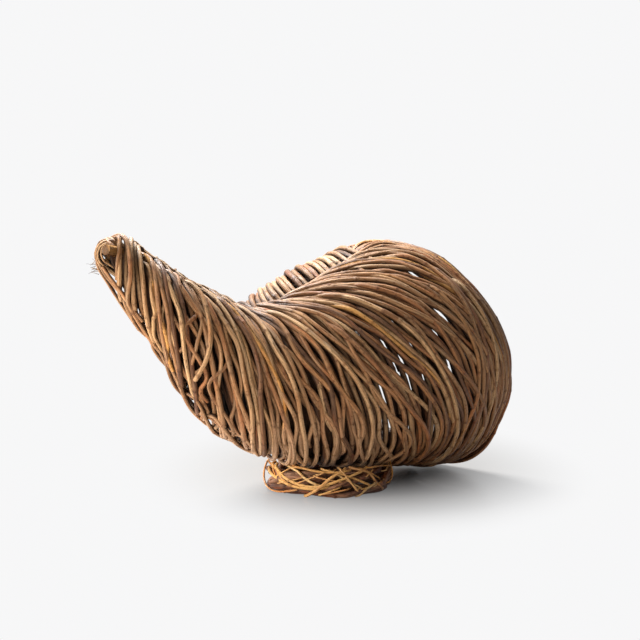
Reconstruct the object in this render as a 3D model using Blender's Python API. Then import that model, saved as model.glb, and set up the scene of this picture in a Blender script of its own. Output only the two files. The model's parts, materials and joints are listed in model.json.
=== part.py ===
"""A horn-shaped basket: whole rods wound over a frame of ribs and hoops, on a foot of twisted vine.

Metres, +Z up. The horn's tail points to -X, its mouth faces +X and +Y, and the foot stands on Z = 0.
The origin is the middle of the whole basket's outline, at the height of the table.
"""

import math

import bmesh
import bpy
import numpy as np

# Overall sizes of the horn's surface, which runs through the middle of the wall rods.
HORN_LENGTH = 0.450
HORN_DEPTH = 0.300
HORN_HEIGHT = 0.270
MOUTH_RADIUS = 0.131

# The wall's rods. The ridge gap is the mean gap from turn to turn along the top rail, and the nesting is
# how far the outer layer sinks into the gaps of the inner one.
WALL_ROD_RADIUS = 0.0030
TAIL_ROD_RADIUS = 0.0025
RIDGE_GAP = 0.0014
LAYER_NESTING = 0.0002
SPLICE_GAP = 0.0020

# The frame inside the wall.
RIB_RADIUS = 0.0022
FRAME_HOOP_RADIUS = 0.0027
MOUTH_HOOP_RADIUS = 0.0045
MOUTH_ROD_RADIUS = 0.0030
FRAME_CLEARANCE = 0.0007
RAIL_CLEARANCE = 0.0014
TOUCH_GAP = 0.0003

# The tail's tip.
CORE_RADIUS = 0.0022
TAIL_LOOP_RADIUS = 0.0022
TAIL_LOOP_REACH = 0.020

# The foot.
FOOT_RADIUS = 0.062
BASE_VINE_RADIUS = 0.0040
FOOT_VINE_RADIUS = 0.0031
LACING_RADIUS = 0.0020
BASE_FLAT = 0.0008

# The horn's stations, from the tail's tip to the mouth: the share of the winding that lies before the
# station, the top rail and the bottom rail (x, y and z as shares of the horn's length, depth and
# height), and the near and far half widths as shares of the mouth's radius.
HORN_SHARES = (
    (0.000, (-0.478, -0.307, 1.004), (-0.470, -0.307, 0.855), 0.145, 0.150),
    (0.056, (-0.433, -0.290, 1.011), (-0.429, -0.293, 0.744), 0.190, 0.190),
    (0.115, (-0.396, -0.273, 0.970), (-0.373, -0.280, 0.607), 0.244, 0.229),
    (0.198, (-0.340, -0.253, 0.907), (-0.296, -0.253, 0.430), 0.344, 0.305),
    (0.302, (-0.269, -0.200, 0.833), (-0.182, -0.193, 0.200), 0.473, 0.450),
    (0.423, (-0.196, -0.113, 0.763), (-0.076, -0.133, 0.122), 0.626, 0.600),
    (0.481, (-0.164, -0.060, 0.778), (-0.004, -0.087, 0.111), 0.710, 0.670),
    (0.558, (-0.127, -0.007, 0.819), (0.073, -0.027, 0.100), 0.794, 0.715),
    (0.760, (0.004, 0.127, 0.904), (0.209, 0.140, 0.063), 0.931, 0.809),
    (0.885, (0.102, 0.207, 0.963), (0.276, 0.267, 0.039), 0.985, 0.947),
    (1.000, (0.184, 0.267, 0.989), (0.322, 0.360, 0.029), 1.000, 1.150),
)
# How far each station's near side is turned from -Y towards +X, in degrees.
NEAR_SIDE_TURNS = (0, 0, 0, 2, 13, 18, 21, 24, 33, 42, 49)

# The winding is made of this many rods of one length, end to end.
WALL_ROD_COUNT = 30
# Corners in one turn of the wall, up to the named share of the winding.
CORNERS_BY_SHARE = ((0.08, 12), (0.50, 18), (1.01, 24))
RING_CORNERS = 24
RIB_STEPS = 22
# Where the two layers of the wall change places, and how wide that crossing is, in degrees.
LAYER_CROSSING = 105
LAYER_CROSSING_WIDTH = 60

# Ribs by name, with their place round the horn in degrees: 0 is the top rail, 90 the near side.
RIB_PLACES = {
    "spine_rib": 0,
    "near_upper_rib": 60,
    "near_lower_rib": 120,
    "keel_rib": 180,
    "far_lower_rib": 240,
    "far_upper_rib": 300,
}
RIB_START_SHARE = 0.09
THROAT_SHARE = 0.46
BELLY_SHARE = 0.74
# How much of a rib's half thickness stands past its end, because the mouth's plane cuts it at a slant.
RIB_SLANT_SHARE = 0.7

# How far the tail's core rods reach towards the loops over the tip, and how far the loops' legs go in.
CORE_REACH_SHARE = 0.78
CORE_STEPS = 7
LOOP_LEG_SHARE = 0.4
LOOP_CORNERS = 11
SEATING_ROUNDS = 3

# The foot's middle, as shares of the horn's length and depth.
FOOT_PLACE_SHARES = (0.022, 0.0)
FOOT_CORNERS = 32
LACING_WAVES = 16
LACING_CORNERS_PER_WAVE = 3
SEAT_PARTS = 6
# Where the foot's middle ring lies lowest, in degrees, and how high the side vine lies in its room.
MIDDLE_RING_LOW = 250
SIDE_VINE_SHARE = 0.7

# The step, as a share of the winding and an angle, over which the horn's slopes are taken.
SLOPE_STEP_SHARE = 0.0001
RIDGE_STEPS = 200

# Colours of bark, by what the rod is used for.
WILLOW = (0.33, 0.22, 0.13)
PALE_WILLOW = (0.45, 0.32, 0.19)
DARK_BARK = (0.16, 0.09, 0.055)
GOLD_CANE = (0.50, 0.31, 0.11)
STRIPPED_ROD = (0.42, 0.24, 0.12)


def clear_scene():
    """Removes what the scene already holds."""
    for obj in list(bpy.data.objects):
        bpy.data.objects.remove(obj, do_unlink=True)


def make_collection(name, hidden=False):
    """A new collection in the scene."""
    collection = bpy.data.collections.new(name)
    collection.hide_render = hidden
    bpy.context.scene.collection.children.link(collection)
    return collection


def bark_material(name, colour, roughness):
    """Plain bark: a colour and a roughness, never metallic."""
    material = bpy.data.materials.new(name + "_bark")
    material.use_nodes = True
    shader = material.node_tree.nodes["Principled BSDF"]
    shader.inputs["Base Color"].default_value = (*colour, 1)
    shader.inputs["Roughness"].default_value = roughness
    shader.inputs["Metallic"].default_value = 0
    material.diffuse_color = (*colour, 1)
    return material


def smooth_step(share):
    """Rises from 0 to 1 with level ends."""
    share = np.clip(share, 0, 1)
    return share * share * (3 - 2 * share)


def station_table():
    """The stations in metres: winding share, top rail, bottom rail, near turn, near and far halves."""
    size = np.array((HORN_LENGTH, HORN_DEPTH, HORN_HEIGHT))
    rows = []
    for (share, top, bottom, near, far), turn in zip(HORN_SHARES, NEAR_SIDE_TURNS):
        halves = (near * MOUTH_RADIUS, far * MOUTH_RADIUS)
        rows.append((share, *(size * top), *(size * bottom), math.radians(turn), *halves))
    return np.array(rows)


def through_stations(share, table):
    """A smooth curve through the rows of a table, read at shares of its first column."""
    keys = table[:, 0]
    values = table[:, 1:]
    slopes = np.zeros_like(values)
    slopes[1:-1] = (values[2:] - values[:-2]) / (keys[2:] - keys[:-2])[:, None]
    slopes[0] = (values[1] - values[0]) / (keys[1] - keys[0])
    slopes[-1] = (values[-1] - values[-2]) / (keys[-1] - keys[-2])
    row = np.clip(np.searchsorted(keys, share, side="right") - 1, 0, len(keys) - 2)
    step = keys[row + 1] - keys[row]
    t = ((share - keys[row]) / step)[:, None]
    step = step[:, None]
    start = (2 * t**3 - 3 * t**2 + 1) * values[row] + (t**3 - 2 * t**2 + t) * step * slopes[row]
    end = (3 * t**2 - 2 * t**3) * values[row + 1] + (t**3 - t**2) * step * slopes[row + 1]
    return start + end


def hoop_frame(share):
    """Middle, top and near directions, and the three half widths of the horn's section."""
    row = through_stations(share, STATIONS)
    top = row[:, 0:3]
    bottom = row[:, 3:6]
    turn = row[:, 6]
    half = (top - bottom) / 2
    half_height = np.linalg.norm(half, axis=1, keepdims=True)
    up = half / half_height
    facing = np.stack([np.sin(turn), -np.cos(turn), 0 * turn], axis=1)
    near = facing - (facing * up).sum(axis=1, keepdims=True) * up
    near = near / np.linalg.norm(near, axis=1, keepdims=True)
    return (top + bottom) / 2, up, near, half_height, row[:, 7:8], row[:, 8:9]


def on_horn(share, angle):
    """Points of the horn's surface: share of the winding, and angle from the top rail in radians."""
    middle, up, near, half_height, near_half, far_half = hoop_frame(share)
    across = np.sin(angle)[:, None]
    width = np.where(across >= 0, near_half, far_half)
    return middle + half_height * np.cos(angle)[:, None] * up + width * across * near


def out_of_horn(share, angle):
    """Unit vectors square to the horn's surface, pointing out."""
    step = SLOPE_STEP_SHARE
    along = on_horn(np.minimum(share + step, 1), angle) - on_horn(np.maximum(share - step, 0), angle)
    round_it = on_horn(share, angle + step) - on_horn(share, angle - step)
    square = np.cross(round_it, along)
    square = square / np.linalg.norm(square, axis=1, keepdims=True)
    outward = on_horn(share, angle) - hoop_frame(share)[0]
    return square * np.sign((square * outward).sum(axis=1, keepdims=True))


def off_horn(share, angle, offset):
    """Points that lie the given distances out of the horn's surface."""
    share = np.broadcast_to(np.asarray(share, float), np.shape(angle))
    offset = np.broadcast_to(np.asarray(offset, float), np.shape(angle))
    return on_horn(share, angle) + offset[:, None] * out_of_horn(share, angle)


def count_turns():
    """As many turns as the top rail has room for."""
    share = np.linspace(0, 1, RIDGE_STEPS)
    ridge = on_horn(share, np.zeros(RIDGE_STEPS))
    length = np.linalg.norm(np.diff(ridge, axis=0), axis=1).sum()
    return round(length / (2 * WALL_ROD_RADIUS + RIDGE_GAP))


def layer_amount(angle):
    """How far the two layers have parted, from 0 at their crossing to 1."""
    away = np.abs((np.degrees(angle) - LAYER_CROSSING + 180) % 360 - 180)
    return smooth_step(away / LAYER_CROSSING_WIDTH)


def rod_radius(share):
    """The rods thin towards the tail."""
    return TAIL_ROD_RADIUS + (WALL_ROD_RADIUS - TAIL_ROD_RADIUS) * smooth_step(share / THROAT_SHARE)


def wall_path():
    """The whole winding: its points, and the share of the winding at each."""
    shares = []
    angles = []
    offsets = []
    for turn in range(WALL_TURNS):
        corners = next(count for share, count in CORNERS_BY_SHARE if turn / WALL_TURNS < share)
        angle = 2 * math.pi * np.arange(corners) / corners
        past_crossing = np.degrees(angle) >= LAYER_CROSSING
        layer = np.where((turn + past_crossing) % 2 == 0, 1, -1)
        shares.append((turn + angle / (2 * math.pi)) / WALL_TURNS)
        angles.append(angle)
        offsets.append(LAYER_STEP * layer * layer_amount(angle))
    shares = np.concatenate(shares)
    return off_horn(shares, np.concatenate(angles), np.concatenate(offsets)), shares


def shortened(points, at_start, at_end):
    """The path with its two ends drawn in."""
    points = points.copy()
    first = points[1] - points[0]
    last = points[-2] - points[-1]
    points[0] += first / np.linalg.norm(first) * at_start
    points[-1] += last / np.linalg.norm(last) * at_end
    return points


def wall_rods():
    """The winding cut into rods of one length, end to end: points and radius of each."""
    points, shares = wall_path()
    run = np.concatenate([[0], np.cumsum(np.linalg.norm(np.diff(points, axis=0), axis=1))])
    cuts = np.searchsorted(run, run[-1] * np.arange(1, WALL_ROD_COUNT) / WALL_ROD_COUNT)
    cuts = np.concatenate([[0], cuts, [len(points) - 1]])
    rods = []
    for first, last in zip(cuts[:-1], cuts[1:]):
        piece = shortened(points[first : last + 1], SPLICE_GAP / 2, SPLICE_GAP / 2)
        rods.append((piece, float(rod_radius(shares[first]))))
    return rods


def rib_offset(angle):
    """How far a rib's middle lies inside the horn's surface, so that it clears the inner layer."""
    return -(WALL_ROD_RADIUS + LAYER_STEP * layer_amount(angle) + RIB_RADIUS + FRAME_CLEARANCE)


def rib_path(place):
    """One rib, from inside the tail to the mouth."""
    share = np.linspace(RIB_START_SHARE, 1, RIB_STEPS)
    angle = np.full(RIB_STEPS, math.radians(place))
    tight_bend = RAIL_CLEARANCE - FRAME_CLEARANCE if place % 180 == 0 else 0
    return off_horn(share, angle, rib_offset(angle) - tight_bend)


def frame_hoop_path(share):
    """A closed ring inside the ribs."""
    angle = 2 * math.pi * np.arange(RING_CORNERS) / RING_CORNERS
    inside_ribs = RIB_RADIUS + FRAME_HOOP_RADIUS + RAIL_CLEARANCE - FRAME_CLEARANCE + TOUCH_GAP
    return off_horn(share, angle, rib_offset(angle) - inside_ribs)


def mouth_axis():
    """The direction that the mouth faces."""
    _, up, near, _, _, _ = hoop_frame(np.array([1.0]))
    axis = np.cross(near, up)[0]
    before, after = hoop_frame(np.array([HORN_SHARES[-2][0], 1.0]))[0]
    return axis * np.sign(axis @ (after - before))


def mouth_ring_path(offset, step):
    """A closed ring past the end of the ribs, the given step along the mouth's axis."""
    angle = 2 * math.pi * np.arange(RING_CORNERS) / RING_CORNERS
    return off_horn(1.0, angle, offset) + step * mouth_axis()


def tail_axis():
    """The direction that the tail's tip points, and the middle of its first section."""
    middles = hoop_frame(np.array([0.0, HORN_SHARES[1][0]]))[0]
    outward = middles[0] - middles[1]
    return outward / np.linalg.norm(outward), middles[0]


def core_path(place):
    """One of the three rods in the middle of the tail, with its end out of the tip."""
    share = np.linspace(HORN_SHARES[3][0], 0, CORE_STEPS)
    middle, _, near, _, _, _ = hoop_frame(share)
    run = np.gradient(middle, axis=0)
    run = run / np.linalg.norm(run, axis=1, keepdims=True)
    across = near - (near * run).sum(axis=1, keepdims=True) * run
    across = across / np.linalg.norm(across, axis=1, keepdims=True)
    upward = np.cross(run, across)
    spacing = (2 * CORE_RADIUS + TOUCH_GAP) / math.sqrt(3)
    side = math.radians(place)
    path = middle + spacing * (math.cos(side) * upward + math.sin(side) * across)
    return np.vstack([path, path[-1] + CORE_REACH_SHARE * TAIL_LOOP_REACH * tail_axis()[0]])


def tail_loop_path(place, reach, half_width):
    """A rod bent over the tip, with both legs inside the first turns of the wall."""
    outward, middle = tail_axis()
    _, up, near, _, _, _ = hoop_frame(np.array([0.0]))
    side = math.radians(place)
    across = math.cos(side) * up[0] + math.sin(side) * near[0]
    across = across - (across @ outward) * outward
    across = across / np.linalg.norm(across)
    legs = LOOP_LEG_SHARE * reach
    bend = np.linspace(-math.pi / 2, math.pi / 2, LOOP_CORNERS)
    arc = [middle + half_width * math.sin(a) * across + reach * math.cos(a) * outward for a in bend]
    start = arc[0] - legs * outward
    end = arc[-1] - legs * outward
    return np.array([start, *arc, end])


def dense(points, closed=False, parts=12):
    """A path with every stretch divided into short parts."""
    ends = np.roll(points, -1, axis=0) if closed else points[1:]
    starts = points if closed else points[:-1]
    share = np.linspace(0, 1, parts, endpoint=False)
    return (starts[:, None] + (ends - starts)[:, None] * share[None, :, None]).reshape(-1, 3)


def room_under_wall(places, reach, wall_points):
    """The greatest height at each place (x, y) for a vine's middle that stays the given reach away."""
    heights = np.full(len(places), np.inf)
    for index, place in enumerate(places):
        flat = wall_points[:, :2] - place
        room = reach**2 - (flat**2).sum(axis=1)
        close = room > 0
        if close.any():
            heights[index] = (wall_points[close, 2] - np.sqrt(room[close])).min()
    return heights


def foot_circle(radius, corners=FOOT_CORNERS):
    """Places (x, y) round the foot's middle."""
    angle = 2 * math.pi * np.arange(corners) / corners
    middle = np.array(FOOT_PLACE_SHARES) * (HORN_LENGTH, HORN_DEPTH)
    return middle + radius * np.stack([np.cos(angle), np.sin(angle)], axis=1)


def seated_heights(radius, reach, wall_points):
    """Heights for a closed ring that lies against the wall from below, at each of its corners."""
    places = foot_circle(radius)
    finer = dense(np.column_stack([places, np.zeros(len(places))]), closed=True, parts=SEAT_PARTS)
    room = room_under_wall(finer[:, :2], reach, wall_points)
    shifts = [np.roll(room, shift) for shift in range(-SEAT_PARTS, SEAT_PARTS + 1)]
    return np.min(shifts, axis=0)[::SEAT_PARTS]


def base_ring_height():
    """The height of the base ring's middle, with its underside cut flat."""
    return BASE_VINE_RADIUS - BASE_FLAT


def lowest_ring_height():
    """How low a vine of the foot can lie on top of the base ring."""
    return base_ring_height() + BASE_VINE_RADIUS + FOOT_VINE_RADIUS + TOUCH_GAP


def lift_for_foot(rods):
    """How much higher the horn has to be for the foot's top ring to clear the base ring."""
    wall_points = np.concatenate([dense(points, parts=16) for points, _ in rods])
    reach = WALL_ROD_RADIUS + FOOT_VINE_RADIUS + TOUCH_GAP
    heights = seated_heights(FOOT_RADIUS + FOOT_VINE_RADIUS, reach, wall_points)
    return max(0, lowest_ring_height() - heights.min())


def longest_run(path, kept):
    """The longest stretch of a closed path whose corners are all kept."""
    start = np.flatnonzero(~kept)[-1] + 1 if not kept.all() else 0
    path = np.roll(path, -start, axis=0)
    kept = np.roll(kept, -start)
    edges = np.flatnonzero(np.diff(np.concatenate([[False], kept, [False]])))
    runs = edges.reshape(-1, 2)
    first, last = max(runs, key=lambda run: run[1] - run[0])
    return path[first:last]


def add_rod(name, points, radius, colour, roughness, closed=False, resolution=1):
    """A rod or vine: a tube along the points."""
    curve = bpy.data.curves.new(name, "CURVE")
    curve.dimensions = "3D"
    curve.bevel_depth = radius
    curve.bevel_resolution = resolution
    curve.use_fill_caps = not closed
    spline = curve.splines.new("POLY")
    spline.points.add(len(points) - 1)
    for corner, point in zip(spline.points, points):
        corner.co = (*point, 1)
    spline.use_cyclic_u = closed
    rod = bpy.data.objects.new(name, curve)
    curve.materials.append(bark_material(name, colour, roughness))
    BASKET.objects.link(rod)
    ROD_PATHS[name] = (np.array(points), radius, closed)
    return rod


def as_mesh(rod):
    """The same tube as a mesh object, which can be cut."""
    bpy.context.view_layer.update()
    evaluated = rod.evaluated_get(bpy.context.evaluated_depsgraph_get())
    mesh = bpy.data.meshes.new_from_object(evaluated)
    shape = bmesh.new()
    shape.from_mesh(mesh)
    bmesh.ops.remove_doubles(shape, verts=shape.verts, dist=rod.data.bevel_depth / 1000)
    shape.to_mesh(mesh)
    shape.free()
    mesh.shade_smooth()
    name = rod.name
    placed = bpy.data.objects.new(name + "_mesh", mesh)
    placed.matrix_world = rod.matrix_world
    bpy.data.objects.remove(rod, do_unlink=True)
    placed.name = name
    BASKET.objects.link(placed)
    return placed


def cut_flat(rod, cutter):
    """Cuts off what reaches below the table."""
    cut = rod.modifiers.new("flat", "BOOLEAN")
    cut.operation = "DIFFERENCE"
    cut.object = cutter
    cut.solver = "EXACT"


def table_cutter():
    """A slab under the table's height."""
    half = 2 * FOOT_RADIUS
    middle = foot_circle(0, 1)[0]
    shape = bmesh.new()
    bmesh.ops.create_cube(shape, size=1)
    bmesh.ops.scale(shape, verts=shape.verts, vec=(2 * half, 2 * half, BASE_VINE_RADIUS))
    bmesh.ops.translate(shape, verts=shape.verts, vec=(*middle, -BASE_VINE_RADIUS / 2))
    mesh = bpy.data.meshes.new("table_cutter")
    shape.to_mesh(mesh)
    shape.free()
    slab = bpy.data.objects.new("table_cutter", mesh)
    slab.display_type = "WIRE"
    slab.hide_render = True
    CUTTERS.objects.link(slab)
    return slab


def build_wall(rods):
    """The wall's rods, one object each, a few of them paler or stripped of bark."""
    colours = (WILLOW, PALE_WILLOW, WILLOW, DARK_BARK, WILLOW, STRIPPED_ROD, PALE_WILLOW)
    for number, (points, radius) in enumerate(rods, start=1):
        colour = colours[number % len(colours)]
        add_rod(f"wall_rod_{number:02d}", points, radius, colour, 0.75)


def build_frame():
    """Ribs, the two hoops inside them, and the mouth's hoop and edge rod."""
    for name, place in RIB_PLACES.items():
        add_rod(name, rib_path(place), RIB_RADIUS, STRIPPED_ROD, 0.7)
    for name, share in (("throat_hoop", THROAT_SHARE), ("belly_hoop", BELLY_SHARE)):
        add_rod(name, frame_hoop_path(share), FRAME_HOOP_RADIUS, STRIPPED_ROD, 0.7, closed=True)
    angle = 2 * math.pi * np.arange(RING_CORNERS) / RING_CORNERS
    hoop_step = MOUTH_HOOP_RADIUS + RIB_SLANT_SHARE * RIB_RADIUS + TOUCH_GAP
    beside_edge = -(MOUTH_HOOP_RADIUS + MOUTH_ROD_RADIUS + FRAME_CLEARANCE)
    hoop = mouth_ring_path(np.minimum(rib_offset(angle), beside_edge), hoop_step)
    add_rod("mouth_hoop", hoop, MOUTH_HOOP_RADIUS, DARK_BARK, 0.8, closed=True)
    edge_step = WALL_ROD_RADIUS + MOUTH_ROD_RADIUS + FRAME_CLEARANCE + TOUCH_GAP
    edge = mouth_ring_path(0.0, edge_step)
    add_rod("mouth_edge_rod", edge, MOUTH_ROD_RADIUS, DARK_BARK, 0.8, closed=True)


def build_tail(rods):
    """The core rods and the two loops of the tip, whose legs lie against the first wall rod."""
    for number, place in enumerate((30, 150, 270), start=1):
        add_rod(f"tail_core_{number}", core_path(place), CORE_RADIUS, GOLD_CANE, 0.7)
    over_inner = TAIL_LOOP_REACH + 2 * TAIL_LOOP_RADIUS + 2 * TOUCH_GAP
    first_rod = (*rods[0], False)
    loops = (("tail_loop_inner", 0, TAIL_LOOP_REACH), ("tail_loop_outer", 90, over_inner))
    for name, place, reach in loops:
        half_width = HORN_SHARES[0][3] * MOUTH_RADIUS - LAYER_STEP - TAIL_ROD_RADIUS - TAIL_LOOP_RADIUS
        for _ in range(SEATING_ROUNDS):
            path = tail_loop_path(place, reach, half_width)
            half_width += least_gap((path, TAIL_LOOP_RADIUS, False), first_rod) - TOUCH_GAP
        path = tail_loop_path(place, reach, half_width)
        add_rod(name, path, TAIL_LOOP_RADIUS, WILLOW, 0.75)


def build_foot(rods):
    """The vine wreath: rings from the table up to the wall, fillers at the front and the lacing."""
    wall_points = np.concatenate([dense(points, parts=16) for points, _ in rods])
    slab = table_cutter()
    spacing = BASE_VINE_RADIUS + FOOT_VINE_RADIUS + TOUCH_GAP
    base_height = base_ring_height()
    inner_height = FOOT_VINE_RADIUS - BASE_FLAT / 2
    corners = np.ones(FOOT_CORNERS)

    base = np.column_stack([foot_circle(FOOT_RADIUS), base_height * corners])
    ring = add_rod("foot_base_ring", base, BASE_VINE_RADIUS, DARK_BARK, 0.8, True, 2)
    cut_flat(as_mesh(ring), slab)
    inner_radius = FOOT_RADIUS - spacing
    inner = np.column_stack([foot_circle(inner_radius), inner_height * corners])
    ring = add_rod("foot_inner_ring", inner, FOOT_VINE_RADIUS, DARK_BARK, 0.8, True)
    cut_flat(as_mesh(ring), slab)

    reach = WALL_ROD_RADIUS + FOOT_VINE_RADIUS + TOUCH_GAP
    top_radius = FOOT_RADIUS + FOOT_VINE_RADIUS
    top_heights = seated_heights(top_radius, reach, wall_points)
    top = np.column_stack([foot_circle(top_radius), top_heights])
    add_rod("foot_top_ring", top, FOOT_VINE_RADIUS, WILLOW, 0.75, True)

    middle_radius = (FOOT_RADIUS + inner_radius) / 2
    room = seated_heights(middle_radius, reach, wall_points)
    low = base_height + math.sqrt(spacing**2 - (FOOT_RADIUS - middle_radius) ** 2) + TOUCH_GAP
    angle = 2 * math.pi * np.arange(FOOT_CORNERS) / FOOT_CORNERS
    rise = (1 - np.cos(angle - math.radians(MIDDLE_RING_LOW))) / 2
    middle_heights = low + rise * (room - low)
    middle = np.column_stack([foot_circle(middle_radius), middle_heights])
    add_rod("foot_middle_ring", middle, FOOT_VINE_RADIUS, DARK_BARK, 0.8, True)

    # The upper vine lies against the wall, where the middle ring leaves it room.
    stacked = 2 * FOOT_VINE_RADIUS + TOUCH_GAP
    high = room - middle_heights > stacked
    upper = np.column_stack([foot_circle(middle_radius), room])
    add_rod("foot_upper_vine", longest_run(upper, high), FOOT_VINE_RADIUS, GOLD_CANE, 0.7)

    side_radius = top_radius + TOUCH_GAP
    side_low = lowest_ring_height()
    high = top_heights - side_low > stacked
    side_heights = side_low + SIDE_VINE_SHARE * (top_heights - stacked - side_low)
    side = np.column_stack([foot_circle(side_radius), side_heights])
    add_rod("foot_side_vine", longest_run(side, high), FOOT_VINE_RADIUS, WILLOW, 0.75)

    lacing_radius = side_radius + FOOT_VINE_RADIUS + LACING_RADIUS + TOUCH_GAP
    corners = LACING_WAVES * LACING_CORNERS_PER_WAVE
    places = foot_circle(lacing_radius, corners)
    reach = WALL_ROD_RADIUS + LACING_RADIUS + TOUCH_GAP
    room = room_under_wall(places, reach + lacing_radius * math.pi / corners, wall_points)
    wave = (1 - np.cos(2 * math.pi * np.arange(corners) / LACING_CORNERS_PER_WAVE)) / 2
    lowest = LACING_RADIUS + 2 * TOUCH_GAP
    closed_heights = np.append(top_heights, top_heights[0])
    ring_share = np.linspace(0, 1, FOOT_CORNERS + 1)
    beside_top = np.interp(np.arange(corners) / corners, ring_share, closed_heights)
    heights = lowest + wave * (np.minimum(room, beside_top) - lowest)
    lacing = np.column_stack([places, heights])
    add_rod("foot_lacing", lacing, LACING_RADIUS, GOLD_CANE, 0.65, True)


def least_gap(first, second):
    """The least gap between the surfaces of two rods, in metres."""
    ends = np.vstack([second[0], second[0][:1]]) if second[2] else second[0]
    start = ends[:-1]
    run = ends[1:] - start
    points = dense(first[0], first[2], 4)
    share = ((points[:, None] - start) * run).sum(axis=2) / (run**2).sum(axis=1)
    nearest = start + np.clip(share, 0, 1)[..., None] * run
    return np.linalg.norm(points[:, None] - nearest, axis=2).min() - first[1] - second[1]


def least_gap_between_turns():
    """The least gap from one turn of the wall to the others, in metres, and the turn where it is."""
    points, shares = wall_path()
    radii = rod_radius(shares)
    start = points[:-1]
    run = points[1:] - start
    least = (np.inf, 0)
    for index, point in enumerate(dense(points, parts=4)):
        corner = index // 4
        share = ((point - start) * run).sum(axis=1) / (run**2).sum(axis=1)
        nearest = start + np.clip(share, 0, 1)[:, None] * run
        gap = np.linalg.norm(point - nearest, axis=1) - radii[corner] - radii[:-1]
        gap[np.abs(shares[:-1] - shares[corner]) < 0.5 / WALL_TURNS] = np.inf
        least = min(least, (gap.min(), shares[corner] * WALL_TURNS))
    return least


def print_gaps():
    """Prints the least gap between the wall's turns, and from each other rod to its neighbours."""
    gap, turn = least_gap_between_turns()
    print(f"{WALL_TURNS} turns, least gap between them {gap * 1000:.2f} mm at turn {turn:.1f}")
    boxes = {name: (path[0].min(axis=0), path[0].max(axis=0)) for name, path in ROD_PATHS.items()}
    for name in ROD_PATHS:
        if "wall" in name:
            continue
        found = []
        for other in ROD_PATHS:
            apart = np.maximum(boxes[name][0] - boxes[other][1], boxes[other][0] - boxes[name][1])
            if other != name and apart.max() < 3 * BASE_VINE_RADIUS:
                found.append((least_gap(ROD_PATHS[name], ROD_PATHS[other]), other))
        nearest = ", ".join(f"{gap * 1000:.2f} mm to {other}" for gap, other in sorted(found)[:3])
        print(f"{name}: {nearest}")


def place_origin():
    """Moves everything so that the origin is under the middle of the basket's outline."""
    bpy.context.view_layer.update()
    graph = bpy.context.evaluated_depsgraph_get()
    corners = []
    for obj in BASKET.objects:
        mesh = obj.evaluated_get(graph).to_mesh()
        corners += [(*vertex.co,) for vertex in mesh.vertices]
    corners = np.array(corners)
    low = corners.min(axis=0)
    high = corners.max(axis=0)
    middle = (low + high) / 2
    print("size", np.round(high - low, 4), "moved by", np.round(-middle[:2], 4), "lowest", low[2])
    for obj in (*BASKET.objects, *CUTTERS.objects):
        obj.location.x -= middle[0]
        obj.location.y -= middle[1]


clear_scene()
BASKET = make_collection("cornucopia_basket")
CUTTERS = make_collection("cutters", hidden=True)
ROD_PATHS = {}
STATIONS = station_table()
LAYER_STEP = WALL_ROD_RADIUS - LAYER_NESTING
WALL_TURNS = count_turns()
STATIONS[:, [3, 6]] += lift_for_foot(wall_rods())
WALL_RODS = wall_rods()
build_wall(WALL_RODS)
build_frame()
build_tail(WALL_RODS)
build_foot(WALL_RODS)
print_gaps()
place_origin()
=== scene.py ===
"""The looks of a horn-shaped basket: bark-covered rods wound over ribs, on a wreath of twisted vine."""

import json
import math

import bmesh
import bpy
import numpy as np
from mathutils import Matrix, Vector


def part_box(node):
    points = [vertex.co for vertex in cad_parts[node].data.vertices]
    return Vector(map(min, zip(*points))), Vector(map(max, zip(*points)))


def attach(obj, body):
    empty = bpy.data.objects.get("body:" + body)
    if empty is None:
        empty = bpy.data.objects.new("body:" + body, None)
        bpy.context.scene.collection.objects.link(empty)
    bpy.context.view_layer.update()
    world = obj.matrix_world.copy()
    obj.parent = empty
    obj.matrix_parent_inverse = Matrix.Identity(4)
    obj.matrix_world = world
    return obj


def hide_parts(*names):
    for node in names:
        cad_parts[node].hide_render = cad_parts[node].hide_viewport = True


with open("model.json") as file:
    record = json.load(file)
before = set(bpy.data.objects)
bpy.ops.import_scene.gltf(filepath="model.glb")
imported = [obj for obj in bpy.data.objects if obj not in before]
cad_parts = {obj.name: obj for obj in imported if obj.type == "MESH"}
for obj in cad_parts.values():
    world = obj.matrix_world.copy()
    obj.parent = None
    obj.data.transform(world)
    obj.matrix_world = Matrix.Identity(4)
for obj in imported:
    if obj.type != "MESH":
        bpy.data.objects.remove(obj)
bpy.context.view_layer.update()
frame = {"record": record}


# The stand is a plain white table top with a soft sheen. It carries the foot, takes the shadow and
# throws light back up. The daylight is a wide lamp low on the left, a strong one above and behind, and
# a warm glow from the front at the table's height.
FLOOR_SIZE = 9.0
FLOOR_COLOUR = (0.22, 0.215, 0.21)
FLOOR_ROUGHNESS = 0.3
FLOOR_SHEEN = 0.12
BOUNCE_COLOUR = (0.86, 0.75, 0.64)
BOUNCE_FADE = {"From Min": -0.25, "From Max": 0.3, "To Min": 1, "To Max": 0.38}
BACKDROP = (0.93, 0.93, 0.935)
SHADOW_PLACE = (0.06, 0.08, 0)
SHADOW_REACH = (0.12, 0.16, 1)
SHADOW_FADE = {"From Min": 0.5, "From Max": 2.3}
ROOM_COLOUR = (1.0, 0.91, 0.83)
ROOM_STRENGTH = 0.03
LAMPS = (
    ("window", (-1.6, -0.62, 0.5), 0.6, 25, (1.0, 0.91, 0.79)),
    ("back_window", (-0.6, 0.66, 1.78), 0.9, 124, (0.99, 0.99, 0.98)),
    ("table_glow", (-0.6, -1.1, 0.03), 0.6, 7.6, (1.0, 0.85, 0.68)),
)
AIM_HEIGHT = 0.13
CAMERA_PLACE = (0.0064, -1.4097, 0.296)
SENSOR_WIDTH = 36
FRAME_PIXELS = 640
LENS_PIXELS = 1250
HORIZON_PIXELS = 102


def unit(vector):
    """The same direction, at a length of 1."""
    return vector / np.linalg.norm(vector)


def in_scene(name, data):
    """A new object in the scene, with that data."""
    thing = bpy.data.objects.new(name, data)
    bpy.context.scene.collection.objects.link(thing)
    return thing


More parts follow.
